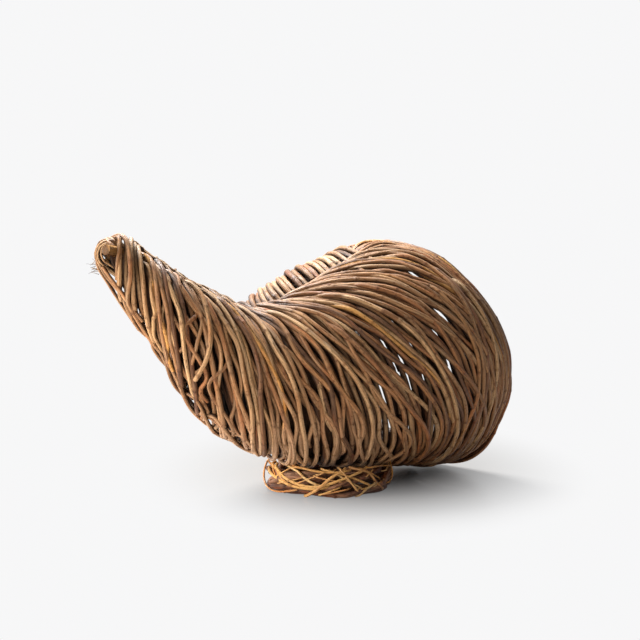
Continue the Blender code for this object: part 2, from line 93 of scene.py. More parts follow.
def fill(node, sockets):
    """Gives each of a node's sockets its value, or the output of another node."""
    for socket, value in sockets.items():
        if isinstance(value, bpy.types.NodeSocket):
            node.id_data.links.new(value, node.inputs[socket])
        else:
            node.inputs[socket].default_value = value
    return node


def add(tree, kind, sockets=None, **settings):
    """A new node of that kind, with its settings and sockets."""
    node = tree.nodes.new("ShaderNode" + kind)
    for setting, value in settings.items():
        setattr(node, setting, value)
    return fill(node, sockets or {})


def parted_view(tree, lit, seen):
    """Shows one shader to the camera and to reflections in gloss, and lights things with the other."""
    ray = add(tree, "LightPath").outputs
    straight = add(tree, "Math", {0: ray["Is Camera Ray"], 1: ray["Is Glossy Ray"]}, operation="MAXIMUM")
    return add(tree, "MixShader", {"Fac": straight.outputs[0], 1: lit.outputs[0], 2: seen.outputs[0]}).outputs[0]


shape = bmesh.new()
bmesh.ops.create_grid(shape, x_segments=1, y_segments=1, size=FLOOR_SIZE / 2)
floor_mesh = bpy.data.meshes.new("floor")
shape.to_mesh(floor_mesh)
shape.free()
floor = in_scene("floor", floor_mesh)
floor_paint = bpy.data.materials.new("white_floor")
floor_paint.use_nodes = True
tree = floor_paint.node_tree
finish = {"Base Color": (*FLOOR_COLOUR, 1), "Roughness": FLOOR_ROUGHNESS, "Specular IOR Level": FLOOR_SHEEN}
paint = fill(tree.nodes["Principled BSDF"], finish)
# near the basket the floor shows its shadow, and farther off it fades into the backdrop
place = add(tree, "TexCoord").outputs["Object"]
near = {"Vector": place, "Location": SHADOW_PLACE, "Scale": SHADOW_REACH}
spread = add(tree, "Mapping", near, vector_type="TEXTURE")
reach = add(tree, "VectorMath", {0: spread.outputs["Vector"]}, operation="LENGTH")
fade = add(tree, "MapRange", {"Value": reach.outputs["Value"], **SHADOW_FADE}, interpolation_type="SMOOTHSTEP")
haze = add(tree, "Emission", {"Color": (*BACKDROP, 1)})
seen = add(tree, "MixShader", {"Fac": fade.outputs["Result"], 1: paint.outputs[0], 2: haze.outputs[0]})
# the light that it throws back up is stronger on the left
across = add(tree, "SeparateXYZ", {"Vector": place})
dim = add(tree, "MapRange", {"Value": across.outputs["X"], **BOUNCE_FADE})
tint = add(tree, "VectorMath", {0: BOUNCE_COLOUR, "Scale": dim.outputs["Result"]}, operation="SCALE")
bounce = add(tree, "BsdfDiffuse", {"Color": tint.outputs["Vector"]})
fill(tree.nodes["Material Output"], {"Surface": parted_view(tree, bounce, seen)})
floor_mesh.materials.append(floor_paint)

room = bpy.data.worlds.new("room")
room.use_nodes = True
bpy.context.scene.world = room
tree = room.node_tree
tree.nodes.clear()
lighting = add(tree, "Background", {"Color": (*ROOM_COLOUR, 1), "Strength": ROOM_STRENGTH})
backdrop = add(tree, "Background", {"Color": (*BACKDROP, 1), "Strength": 1.0})
add(tree, "OutputWorld", {"Surface": parted_view(tree, lighting, backdrop)})

for name, place, size, power, tint in LAMPS:
    data = bpy.data.lights.new(name, "AREA")
    data.size = size
    data.energy = power
    data.color = tint
    lamp = in_scene(name, data)
    lamp.location = place
    aim = unit(-np.array(place) + (0, 0, AIM_HEIGHT))
    lamp.rotation_euler = (math.acos(-aim[2]), 0, math.atan2(aim[1], aim[0]) - math.pi / 2)

camera_data = bpy.data.cameras.new("camera")
camera_data.sensor_width = SENSOR_WIDTH
camera_data.lens = SENSOR_WIDTH * LENS_PIXELS / FRAME_PIXELS
camera = in_scene("camera", camera_data)
camera.location = CAMERA_PLACE
camera_pitch = math.degrees(math.atan2(HORIZON_PIXELS, LENS_PIXELS))
camera.rotation_euler = (math.radians(90 - camera_pitch), 0, 0)
bpy.context.scene.camera = camera
bpy.context.scene.view_settings.view_transform = "Standard"


# Six ribs run the length of the horn inside the wall. They are whole peeled rods, and everything else
# is wound over them, so the horn's own shape is set here. It is read as a share of the winding, from
# the tail's tip to the mouth, and an angle round it: 0 on the ridge, 90 on the near side, 180 on the keel.
HORN_SIZE = np.array((0.45, 0.3, 0.27))
MOUTH_RADIUS = 0.131
# share, top, bottom, turn in degrees, then the near and the far half width to the mouth's radius
HORN_SHARES = (
    (0.000, (-0.478, -0.307, 1.004), (-0.47, -0.307, 0.855), 0, 0.145, 0.15),
    (0.056, (-0.433, -0.29, 1.011), (-0.429, -0.293, 0.744), 0, 0.19, 0.19),
    (0.115, (-0.396, -0.273, 0.97), (-0.373, -0.28, 0.607), 0, 0.244, 0.229),
    (0.198, (-0.34, -0.253, 0.907), (-0.296, -0.253, 0.43), 2, 0.344, 0.305),
    (0.302, (-0.269, -0.2, 0.833), (-0.182, -0.193, 0.2), 13, 0.473, 0.45),
    (0.423, (-0.196, -0.113, 0.763), (-0.076, -0.133, 0.122), 18, 0.626, 0.6),
    (0.481, (-0.164, -0.06, 0.778), (-0.004, -0.087, 0.111), 21, 0.71, 0.67),
    (0.558, (-0.127, -0.007, 0.819), (0.073, -0.027, 0.1), 24, 0.794, 0.715),
    (0.76, (0.004, 0.127, 0.904), (0.209, 0.14, 0.063), 33, 0.931, 0.809),
    (0.885, (0.102, 0.207, 0.963), (0.276, 0.267, 0.039), 42, 0.985, 0.947),
    (1.000, (0.184, 0.267, 0.989), (0.322, 0.36, 0.029), 49, 1.000, 1.15),
)
FOOT_SHARE_OF_LENGTH = 0.022
FOOT_CORE_RADIUS = 0.06
FOOT_CORE_HEIGHT = 0.01
# by how many millimetres the ridge, the keel and the mouth's rim stand out of the even form
RIDGE_FORM = (
    (0.05, 0.11, 0.17, 0.26, 0.36, 0.42, 0.5, 0.6, 0.68, 0.8, 0.9, 1),
    (0, -5, -4, -6, -3, -5, -6, -3, 1.5, 1.5, 4, 4),
)
KEEL_FORM = (
    (0.06, 0.1, 0.15, 0.2, 0.24, 0.265, 0.3, 0.36, 0.43, 0.5),
    (0, -3, 0, 7, 8, 3, -4, -5, -2, 0),
)
RIM_FORM = (
    (0, 12, 31, 46, 60, 76, 92, 110, 126, 142, 160, 190, 340),
    (-1, -5, -6, -9, -8, -5, -2.5, -5, -8, -6, -2, 0, 0),
)
RIDGE_HALF_WIDTH = 38
KEEL_ANGLE = 172
KEEL_HALF_WIDTH = 30
RIM_REACH = (0.8, 0.95)
RIB_RADIUS = 0.0022
RIB_DEPTH = 0.009
RIB_START = 0.09
RIB_SWAY = 4
RIB_PLACES = {
    "spine_rib": 0,
    "near_upper_rib": 60,
    "near_lower_rib": 120,
    "keel_rib": 180,
    "far_lower_rib": 240,
    "far_upper_rib": 300,
}
foot_low, foot_high = (np.array(corner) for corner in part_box("foot_base_ring"))
FOOT_MIDDLE = (foot_low + foot_high) / 2 * (1, 1, 0)
HORN_ORIGIN = FOOT_MIDDLE - HORN_SIZE * (FOOT_SHARE_OF_LENGTH, 0, 0)
STATIONS = np.array([
    (share, *(HORN_SIZE * top), *(HORN_SIZE * bottom), math.radians(turn), near * MOUTH_RADIUS, far * MOUTH_RADIUS)
    for share, top, bottom, turn, near, far in HORN_SHARES
])
foot_round = np.radians(np.arange(0, 360, 6))
foot_core = [FOOT_CORE_RADIUS * np.cos(foot_round), FOOT_CORE_RADIUS * np.sin(foot_round)]
FOOT_CORE = FOOT_MIDDLE + np.stack([*foot_core, FOOT_CORE_HEIGHT + 0 * foot_round], axis=1)


def horn_section(share):
    """The horn's section at each share: middle, up, near side, and its three half widths."""
    keys = STATIONS[:, 0]
    values = STATIONS[:, 1:]
    slopes = np.gradient(values, keys, axis=0)
    slopes[1:-1] = (values[2:] - values[:-2]) / (keys[2:] - keys[:-2])[:, None]
    share = np.clip(share, 0, 1)
    row = np.clip(np.searchsorted(keys, share, side="right") - 1, 0, len(keys) - 2)
    step = (keys[row + 1] - keys[row])[:, None]
    t = (share - keys[row])[:, None] / step
    place = (2 * t**3 - 3 * t**2 + 1) * values[row] + (t**3 - 2 * t**2 + t) * step * slopes[row]
    place += (3 * t**2 - 2 * t**3) * values[row + 1] + (t**3 - t**2) * step * slopes[row + 1]
    half = (place[:, 0:3] - place[:, 3:6]) / 2
    half_height = np.linalg.norm(half, axis=1, keepdims=True)
    up = half / half_height
    turn = place[:, 6]
    facing = np.stack([np.sin(turn), -np.cos(turn), 0 * turn], axis=1)
    near = facing - (facing * up).sum(axis=1, keepdims=True) * up
    near /= np.linalg.norm(near, axis=1, keepdims=True)
    middle = HORN_ORIGIN + (place[:, 0:3] + place[:, 3:6]) / 2
    return middle, up, near, half_height, place[:, 7:8], place[:, 8:9]


def horn_surface(share, angle):
    """Points on the horn's smooth surface."""
    middle, up, near, half_height, near_half, far_half = horn_section(share)
    across = np.sin(angle)[:, None]
    width = np.where(across >= 0, near_half, far_half)
    return middle + half_height * np.cos(angle)[:, None] * up + width * across * near


def off_ridge(degrees):
    """How many degrees an angle lies past the ridge, from -180 to 180."""
    return (degrees + 180) % 360 - 180


def hand_made(share, degrees):
    """How far the wound horn stands out of its even form, or in, from place to place."""
    off_keel = np.abs(degrees % 360 - KEEL_ANGLE)
    ridge = np.interp(share, *RIDGE_FORM) * np.exp(-((np.abs(off_ridge(degrees)) / RIDGE_HALF_WIDTH) ** 2))
    keel = np.interp(share, *KEEL_FORM) * np.exp(-((off_keel / KEEL_HALF_WIDTH) ** 2))
    rim = np.interp(degrees % 360, *RIM_FORM) * np.interp(share, RIM_REACH, (0, 1))
    return (ridge + keel + rim) / 1000


def horn_point(share, degrees, out):
    """Points that stand out of the horn's surface by out, in metres."""
    share, degrees, out = (np.array(value, float) for value in np.broadcast_arrays(share, degrees, out))
    out = out + hand_made(share, degrees)
    angle = np.radians(degrees)
    small = 1e-4
    along = horn_surface(np.clip(share, 0, 1 - small) + small, angle)
    along -= horn_surface(np.clip(share, small, 1) - small, angle)
    around = horn_surface(share, angle + small) - horn_surface(share, angle - small)
    square = np.cross(around, along)
    square /= np.linalg.norm(square, axis=1, keepdims=True)
    here = horn_surface(share, angle)
    outward = here - horn_section(share)[0]
    square *= np.sign((square * outward).sum(axis=1, keepdims=True))
    return here + out[:, None] * square


HORN_CORE = horn_section(np.linspace(0, 1, 90))[0]


def soft_noise(rng, where, reach):
    """A soft random line, between about -1 and 1, whose bends are about reach long."""
    total = np.zeros_like(where)
    for stretch in (0.7, 1.0, 1.6):
        length = reach * stretch * rng.uniform(0.85, 1.15)
        total += np.sin(where * 2 * math.pi / length + rng.uniform(0, 2 * math.pi))
    return total / 3 * 1.5


ROD_STEP = 0.0048
LEAST_STEP = 0.0006
NODE_STEPS = (-0.0034, -0.0013, 0, 0.0013, 0.0034)
NODE_WIDTH = 0.0016
END_CLEARANCE = 0.001
# how far a rod stands out of the wall, and how much painted shade it gets for that
DEPTH_AND_PAINTED_SHADE = ((-0.006, -0.001, 0.0035), (0.45, 0.12, -0.14))


def grown_rod(rng, path, radius, tip=1.0, joints=0.075, bump=0.16, rise=0.0):
    """A rod as it grew: points along a path, with a swelling at each node and a slow change of girth.

    rise is how far it stands out of the wall. Where it lies low it is given painted shade.
    """
    path = np.asarray(path, float)
    run = np.concatenate([[0], np.cumsum(np.linalg.norm(np.diff(path, axis=0), axis=1))])
    length = run[-1]
    rings = [rng.uniform(0.1, 0.9) * joints]
    while rings[-1] < length:
        rings.append(rings[-1] + joints * rng.uniform(0.55, 1.5))
    rings = np.array(rings[:-1])
    even = np.linspace(0, length, max(3, round(length / ROD_STEP)))
    close = (rings[:, None] + np.array(NODE_STEPS)).ravel()
    close = close[(close > END_CLEARANCE) & (close < length - END_CLEARANCE)]
    spots = np.sort(np.concatenate([even, close]))
    spots = spots[np.concatenate([[True], np.diff(spots) > LEAST_STEP])]
    spots[-1] = length
    points = np.stack([np.interp(spots, run, path[:, axis]) for axis in range(3)], axis=1)
    gap = np.abs(spots[:, None] - rings).min(axis=1) if len(rings) else np.full(len(spots), 1.0)
    ring = np.exp(-((gap / NODE_WIDTH) ** 2))
    girth = radius * (1 + (tip - 1) * spots / length)
    girth = girth * (1 + 0.05 * soft_noise(rng, spots, 0.05) + bump * ring)
    rise = np.interp(spots, run, np.broadcast_to(rise, len(path)))
    return {
        "points": points,
        "girth": girth,
        "along": spots + rng.uniform(0, 50),
        "ring": ring,
        "tone": rng.uniform(0, 1),
        # painted shade for the parts of a rod that lie low in the wall
        "low": np.interp(rise, *DEPTH_AND_PAINTED_SHADE),
    }


FOOT_TOP = 0.045
# painted bounce light from the table, on the low rods of the near side
PAINTED_BOUNCE_HEIGHT = 0.105
PAINTED_BOUNCE_REACH = 0.105
PAINTED_BOUNCE_FADE = 0.055
# painted shade between the rods, on their sides and where they lie low
PAINTED_SHADE_LEVEL = 0.92
PAINTED_SHADE_WHERE_LOW = 1.5
PAINTED_SHADE_LIFTED_BY_BOUNCE = 0.55
PAINTED_SHADE_LESS_INSIDE = 0.45


def bind(name, rods, slot, replaced=(), bark=None):
    """Makes one piece of the rods, closes their cut ends, and puts it in place of the plain ones."""
    centres = np.concatenate([rod["points"] for rod in rods])
    in_foot = centres[:, 2].max() < FOOT_TOP
    away = centres[:, None] - (FOOT_CORE if in_foot else HORN_CORE)
    away = away[np.arange(len(centres)), (away**2).sum(axis=2).argmin(axis=1)]
    away /= np.linalg.norm(away, axis=1, keepdims=True) + 1e-9
    curve = bpy.data.curves.new(name, "CURVE")
    curve.dimensions = "3D"
    curve.bevel_depth = 1.0
    curve.bevel_resolution = 3
    for rod in rods:
        spline = curve.splines.new("POLY")
        spline.points.add(len(rod["points"]) - 1)
        flat = np.column_stack([rod["points"], np.ones(len(rod["points"]))])
        spline.points.foreach_set("co", flat.ravel())
        spline.points.foreach_set("radius", rod["girth"])
    guide = in_scene(name + "_guide", curve)
    bpy.context.view_layer.update()
    mesh = bpy.data.meshes.new_from_object(guide.evaluated_get(bpy.context.evaluated_depsgraph_get()))
    bpy.data.objects.remove(guide, do_unlink=True)
    bpy.data.curves.remove(curve)

    def carry(value, numbers, kind="FLOAT", field="value"):
        """Keeps a number at each point of the mesh, for the bark to read."""
        mesh.attributes.new("rod_" + value, kind, "POINT").data.foreach_set(field, numbers.ravel())

    count = len(centres)
    sides = len(mesh.vertices) // count
    theta = 2 * math.pi * np.arange(sides) / sides
    girth = np.concatenate([rod["girth"] for rod in rods])
    along = np.concatenate([rod["along"] for rod in rods])
    inner = np.stack([np.outer(girth, np.cos(theta)), np.outer(girth, np.sin(theta))], axis=2)
    place = np.concatenate([inner, np.repeat(along, sides).reshape(count, sides, 1)], axis=2)
    carry("place", place, "FLOAT_VECTOR", "vector")
    carry("ring", np.repeat(np.concatenate([rod["ring"] for rod in rods]), sides))
    carry("tone", np.concatenate([np.full(len(rod["points"]) * sides, rod["tone"]) for rod in rods]))
    # painted shade: the sides towards the neighbours and the rods that lie low in the wall are painted darker.
    # Low on the near side a pale painted bounce light from the table is laid on, and the painted shade is lighter
    # there.
    spots = np.zeros(len(mesh.vertices) * 3)
    mesh.vertices.foreach_get("co", spots)
    rise = (spots.reshape(count, sides, 3) - centres[:, None]) / girth[:, None, None]
    outward = (rise * away[:, None]).sum(axis=2)
    low = np.concatenate([rod["low"] for rod in rods])[:, None]
    table_bounce_share = np.clip((PAINTED_BOUNCE_HEIGHT - centres[:, 2]) / PAINTED_BOUNCE_FADE, 0, 1)[:, None]
    painted_shade = np.clip(PAINTED_SHADE_LEVEL + PAINTED_SHADE_WHERE_LOW * low - outward - PAINTED_SHADE_LIFTED_BY_BOUNCE * table_bounce_share, 0, 1)
    carry("painted_shade", np.minimum(painted_shade, 1 - PAINTED_SHADE_LESS_INSIDE * np.clip(-2 * outward - 0.6, 0, 1)))
    # painted bounce light from the table: pale on the outward faces of the low rods on the near side
    painted_bounce_share = table_bounce_share * np.clip((PAINTED_BOUNCE_REACH - centres[:, :1]) / PAINTED_BOUNCE_FADE, 0, 1) * np.clip(outward + 0.4, 0, 1)
    carry("painted_bounce", painted_bounce_share * (slot != "dark_bark" and not in_foot))
    shape = bmesh.new()
    shape.from_mesh(mesh)
    ends = [edge for edge in shape.edges if edge.is_boundary]
    for face in bmesh.ops.holes_fill(shape, edges=ends, sides=0)["faces"]:
        face.material_index = 1
    for edge in ends:
        edge.smooth = False
    for face in shape.faces:
        face.smooth = len(face.verts) == 4
    shape.to_mesh(mesh)
    shape.free()
    mesh.name = name
    mesh.materials.clear()
    mesh.materials.append(bark or BARKS[slot])
    mesh.materials.append(CUT_WOOD)
    piece = in_scene(name, mesh)
    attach(piece, "root")
    if replaced:
        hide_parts(*replaced)
    return piece


# the colour of the painted bounce light from the table
PAINTED_BOUNCE_LIGHT = (0.84, 0.61, 0.42)
STREAK_SHADE = (0.42, 0.34, 0.29)
SPECK_SHADE = (0.32, 0.24, 0.19)
NODE_SHADE = (0.4, 0.3, 0.24)
# the colour of the painted shade between the rods
PAINTED_SHADE_COLOUR = (0.035, 0.014, 0.006)


def bark_finish(name, tones, grey, worn, roughness, streak=0.85):
    """Bark: a tone for each rod, grey and worn patches, fine streaks along it and dark rings at its nodes, with
    painted bounce light and painted shade laid over.
    """
    material = bpy.data.materials.new(name)
    material.use_nodes = True
    tree = material.node_tree

    def carried(value, output="Fac"):
        """What the rod's mesh carries under that name."""
        return add(tree, "Attribute", attribute_name="rod_" + value).outputs[output]

    place = carried("place", "Vector")

    def grain(scale, stretch, detail, low, high):
        """Noise in the rod's own space, drawn out along it, spread from 0 to 1 between low and high."""
        drawn = add(tree, "Mapping", {"Vector": place, "Scale": (scale, scale, scale * stretch)})
        noise = add(tree, "TexNoise", {"Vector": drawn.outputs["Vector"], "Scale": 1.0, "Detail": detail})
        spread = add(tree, "MapRange", {"Value": noise.outputs["Fac"], "From Min": low, "From Max": high})
        return spread.outputs["Result"]

    def blended(amount, below, above, mode="MIX", strength=1.0):
        """One colour laid over another by an amount."""
        part = add(tree, "Math", {0: amount, 1: strength}, operation="MULTIPLY").outputs[0]
        sockets = {"Factor": part, "A": below, "B": (*above, 1)}
        return add(tree, "Mix", sockets, data_type="RGBA", blend_type=mode).outputs["Result"]

    ramp = add(tree, "ValToRGB", {"Fac": carried("tone")})
    ramp.color_ramp.elements.remove(ramp.color_ramp.elements[1])
    for index, colour in enumerate(tones):
        position = index / (len(tones) - 1)
        element = ramp.color_ramp.elements[0] if index == 0 else ramp.color_ramp.elements.new(position)
        element.position = position
        element.color = (*colour, 1)
    patches = grain(scale=130, stretch=0.35, detail=3, low=0.5, high=0.68)
    wear = grain(scale=95, stretch=0.22, detail=4, low=0.56, high=0.66)
    streaks = grain(scale=1300, stretch=0.035, detail=3, low=0.38, high=0.64)
    specks = grain(scale=700, stretch=0.45, detail=2, low=0.58, high=0.68)
    colour = blended(patches, ramp.outputs["Color"], grey, strength=0.7)
    colour = blended(wear, colour, worn, strength=0.75)
    # painted bounce light from the table, pale on the lower near side
    colour = blended(carried("painted_bounce"), colour, PAINTED_BOUNCE_LIGHT, strength=0.7)
    colour = blended(streaks, colour, STREAK_SHADE, "MULTIPLY", streak)
    colour = blended(specks, colour, SPECK_SHADE, "MULTIPLY", 0.75)
    colour = blended(carried("ring"), colour, NODE_SHADE, "MULTIPLY", 0.75)
    # painted shade between and under the rods
    colour = blended(carried("painted_shade"), colour, PAINTED_SHADE_COLOUR, "MULTIPLY", 0.97)
    shine = add(tree, "MapRange", {"Value": patches, "To Min": roughness - 0.1, "To Max": roughness + 0.14})
    height = add(tree, "Math", {0: patches, 1: streaks}, operation="SUBTRACT")
    relief = add(tree, "Bump", {"Height": height.outputs[0], "Strength": 0.7, "Distance": 0.0004})
    fill(tree.nodes["Principled BSDF"], {
        "Base Color": colour, "Roughness": shine.outputs["Result"], "Normal": relief.outputs["Normal"],
        "Specular IOR Level": 0.3,
    })
    return material


CUT_WOOD = bpy.data.materials.new("cut_wood")
CUT_WOOD.use_nodes = True
fill(CUT_WOOD.node_tree.nodes["Principled BSDF"], {"Base Color": (0.36, 0.22, 0.11, 1), "Roughness": 0.85})
PEELED_BARK = bark_finish(
    "peeled_bark",
    ((0.3, 0.14, 0.06), (0.38, 0.2, 0.09), (0.26, 0.13, 0.07)),
    (0.22, 0.15, 0.1), (0.4, 0.2, 0.08), 0.66,
)

rng = np.random.default_rng(11)
share = np.linspace(RIB_START, 1, 300)
for name, place in RIB_PLACES.items():
    sway = RIB_SWAY * soft_noise(rng, share, 0.22)
    depth = -RIB_DEPTH + 0.0005 * soft_noise(rng, share, 0.1)
    rib = grown_rod(rng, horn_point(share, place + sway, depth), RIB_RADIUS)
    bind(name.replace("_rib", "_inner_rod"), [rib], "stripped_rod", [name], PEELED_BARK)


# Two hoops lie inside the ribs and hold them apart. Each is a thicker rod bent round until its ends
# overlap, and the ribs are bound to it by nothing but the wall's pressure.
HOOP_RADIUS = 0.0027
HOOPS = (("throat_hoop", 0.46), ("belly_hoop", 0.74))
HOOP_OVERLAP = ((-12, 12, 348, 372), (0.0, -0.0008, -0.0008, -0.0056))

for name, share in HOOPS:
    degrees = np.linspace(HOOP_OVERLAP[0][0], HOOP_OVERLAP[0][-1], 400)
    depth = -(RIB_DEPTH + RIB_RADIUS + HOOP_RADIUS) + np.interp(degrees, *HOOP_OVERLAP)
    hoop = grown_rod(rng, horn_point(share, degrees, depth), HOOP_RADIUS)
    bind(name.replace("_hoop", "_ring"), [hoop], "stripped_rod", [name], PEELED_BARK)


# The wall is whole rods wound round the ribs, turn beside turn from the tail's tip to the mouth, in two
# layers that keep changing places. On the ridge they bend sharply over the spine, and from there each
# one runs on towards the mouth before it turns down. They keep their bark and swell at their nodes.
TURNS = 51
WALL_RODS = 30
WALL_RADIUS = 0.003
TAIL_RADIUS = 0.0025
TAIL_END = 0.46
TIP_START = 0.03
BODY_EASE = (0.44, 0.52)
LAYER_STEP = 0.0026
LAYER_SWAP = 215
WANDER = 0.3
UNEVENNESS = 0.0011
RIDGE_LEAN = ((0, 0.08, 0.2, 0.3, 0.42, 0.6, 0.8, 1.0), (0, 0.025, 0.062, 0.09, 0.09, 0.082, 0.07, 0))
RIDGE_EASE = (16, 40)
RIDGE_RISE = 0.0006
ROLL_RISE = 0.0042
ROLL_END = (0.85, 0.93)
# on the near side the turns dive under the cover from these angles on, and come up again past the keel
DIVE_ANGLES = ((0.6, 0.75, 0.85, 0.93), (20, 12, -6, -14))
DIVE_WIDTH = 16
DIVE_END = (166, 192)
NEAR_SINK = -0.004
MOUTH_SINK = 0.004
MOUTH_EASE = (0.93, 1.0)
BARKS = {
    "willow": bark_finish(
        "willow_bark",
        (
            (0.509, 0.281, 0.135), (0.347, 0.177, 0.082), (0.636, 0.386, 0.202),
            (0.431, 0.211, 0.095), (0.559, 0.331, 0.168),
        ),
        (0.442, 0.313, 0.201), (0.464, 0.193, 0.073), 0.55,
    ),
    "pale_willow": bark_finish(
        "pale_bark",
        ((0.726, 0.476, 0.261), (0.629, 0.401, 0.216), (0.805, 0.556, 0.315), (0.663, 0.397, 0.19)),
        (0.58, 0.433, 0.287), (0.581, 0.288, 0.12), 0.57,
    ),
    "dark_bark": bark_finish(
        "dark_rod_bark",
        ((0.272, 0.139, 0.07), (0.187, 0.093, 0.048), (0.337, 0.165, 0.081)),
        (0.238, 0.152, 0.096), (0.35, 0.127, 0.049), 0.54,
    ),
    "stripped_rod": bark_finish(
        "stripped_bark",
        ((0.486, 0.232, 0.101), (0.411, 0.196, 0.087), (0.593, 0.322, 0.146)),
        (0.38, 0.234, 0.131), (0.554, 0.205, 0.072), 0.56,
    ),
    "gold_cane": bark_finish(
        "gold_cane_skin",
        ((0.72, 0.4, 0.13), (0.62, 0.31, 0.095), (0.8, 0.48, 0.19)),
        (0.6, 0.35, 0.13), (0.66, 0.28, 0.06), 0.42, 0.35,
    ),
}
slots = {part["node"]: part["material_slot"] for part in frame["record"]["subparts"]}


def eased(value, low, high):
    """Rises softly from 0 at low to 1 at high."""
    share = np.clip((value - low) / (high - low), 0, 1)
    return share * share * (3 - 2 * share)


def tail_lean(from_ridge):
    """How a turn of the tail leans along the horn: it runs back over the far side and on over the near one."""
    return eased(from_ridge, -45, 78) + (1 - eased(from_ridge, -170, -45)) - 1


rng = np.random.default_rng(5)
turn = np.linspace(0, TURNS, TURNS * 240 + 1)
whole = np.floor(turn)
degrees = 360 * (turn - whole)
from_ridge = off_ridge(degrees)
base = np.clip(turn / TURNS, 0, 1)
in_body = eased(base, *BODY_EASE)
on_tail = tail_lean(from_ridge)
on_body = eased(from_ridge, 28, 84) - eased(from_ridge, -26, 28)
lean = on_tail + (on_body - on_tail) * in_body
wander = WANDER * soft_noise(rng, turn, 0.9) * (0.3 + 0.7 * eased(np.abs(from_ridge), 10, 60))
share = np.clip((turn + wander) / TURNS + lean * np.interp(base, *RIDGE_LEAN), 0, 1)
share = TIP_START + (1 - TIP_START) * share
layer = np.where((whole + (degrees > LAYER_SWAP)) % 2 == 0, 1, -1)
parted = eased(np.abs((degrees - LAYER_SWAP + 180) % 360 - 180), 0, 40)
over_ridge = 1 - eased(np.abs(from_ridge - 2), *RIDGE_EASE)
turned = np.where(degrees > 270, degrees - 360, degrees)
dive = np.interp(share, *DIVE_ANGLES)
beneath = eased(turned, dive, dive + DIVE_WIDTH) * (1 - eased(turned, *DIVE_END)) * in_body
out = LAYER_STEP * layer * parted * (1 - 0.6 * over_ridge) + UNEVENNESS * soft_noise(rng, turn, 0.37)
roll = in_body * (1 - eased(share, *ROLL_END))
ridge_rise = (RIDGE_RISE + (ROLL_RISE - RIDGE_RISE) * roll) * over_ridge
out = out * (1 - 0.7 * beneath) + NEAR_SINK * beneath + ridge_rise
out -= MOUTH_SINK * eased(share, *MOUTH_EASE)
path = horn_point(share, degrees, out)
run = np.concatenate([[0], np.cumsum(np.linalg.norm(np.diff(path, axis=0), axis=1))])
cuts = np.searchsorted(run, run[-1] * np.arange(WALL_RODS + 1) / WALL_RODS)
cuts[-1] = len(run) - 1
for number in range(WALL_RODS):
    node = f"wall_rod_{number + 1:02d}"
    stretch = slice(cuts[number], cuts[number + 1])
    radius = TAIL_RADIUS + (WALL_RADIUS - TAIL_RADIUS) * float(eased(share[cuts[number]], 0, TAIL_END))
    radius *= rng.uniform(0.96, 1.14)
    rod = grown_rod(rng, path[stretch], radius, tip=rng.uniform(0.86, 1.0), rise=out[stretch])
    bind(f"rod_{number + 1:02d}", [rod], slots[node], [node])


# The near side is covered by a second set of rods. Their ends are tucked under the ridge, and they fan
# out from there over the shoulder and down to the keel, crossing each other at small angles. Each line
# is one way across the near side, at ten even steps: thousandths of the winding, then the angles.
NEAR_WAYS = (
    ((85, 105, 117, 121, 121, 122, 121, 120, 121, 122), (15, 34, 50, 67, 84, 101, 118, 138, 160, 185)),
    ((140, 169, 184, 188, 190, 195, 199, 210, 218, 225), (15, 35, 53, 73, 92, 110, 128, 144, 162, 185)),
    ((223, 277, 312, 324, 324, 320, 318, 316, 317, 318), (12, 26, 42, 60, 79, 98, 117, 137, 160, 185)),
    ((300, 345, 368, 382, 386, 389, 392, 396, 400, 405), (12, 30, 49, 67, 85, 104, 123, 143, 164, 185)),
    ((360, 410, 437, 447, 455, 465, 473, 479, 484, 488), (12, 32, 51, 71, 90, 109, 127, 146, 166, 185)),
    ((400, 452, 492, 521, 535, 540, 539, 538, 539, 540), (12, 34, 53, 71, 90, 108, 127, 146, 165, 185)),
    ((440, 495, 554, 590, 616, 648, 676, 692, 697, 700), (12, 37, 56, 75, 93, 110, 127, 146, 165, 185)),
    ((470, 544, 619, 674, 716, 756, 784, 798, 803, 805), (25, 43, 57, 74, 91, 107, 125, 144, 164, 185)),
    ((490, 595, 682, 741, 781, 817, 847, 862, 868, 870), (30, 42, 54, 70, 88, 105, 123, 143, 163, 185)),
    ((515, 641, 732, 792, 837, 879, 904, 914, 916, 916), (32, 38, 49, 64, 81, 99, 118, 140, 162, 185)),
    ((545, 679, 775, 838, 890, 930, 950, 950, 947, 945), (32, 33, 43, 57, 74, 93, 115, 138, 162, 185)),
    ((590, 725, 825, 892, 940, 965, 972, 968, 966, 963), (31, 31, 38, 50, 69, 90, 113, 137, 161, 185)),
    ((660, 793, 892, 940, 964, 975, 981, 980, 977, 975), (27, 23, 28, 44, 66, 89, 113, 137, 161, 185)),
    ((790, 909, 960, 981, 987, 990, 991, 989, 987, 985), (17, 13, 28, 49, 71, 94, 116, 139, 162, 185)),
    ((840, 920, 965, 988, 994, 995, 995, 993, 990, 988), (4, 1, 9, 28, 52, 82, 110, 138, 162, 185)),
)
NEAR_FLOW = np.array(NEAR_WAYS).transpose(0, 2, 1) / (1000, 1)
RODS_BETWEEN = (4, 7, 4, 6, 7, 7, 8, 7, 7, 7, 6, 7, 10, 11)
COVER_LEVEL = (-0.0006, 0.003)
COVER_RADIUS = (0.0024, 0.0032)
COVER_TUCK = 0.0048
COVER_BARKS = (0.38, 0.24, 0.1, 0.2, 0.08)
TAIL_WAYS = 3
MIDDLE_WAYS = 8
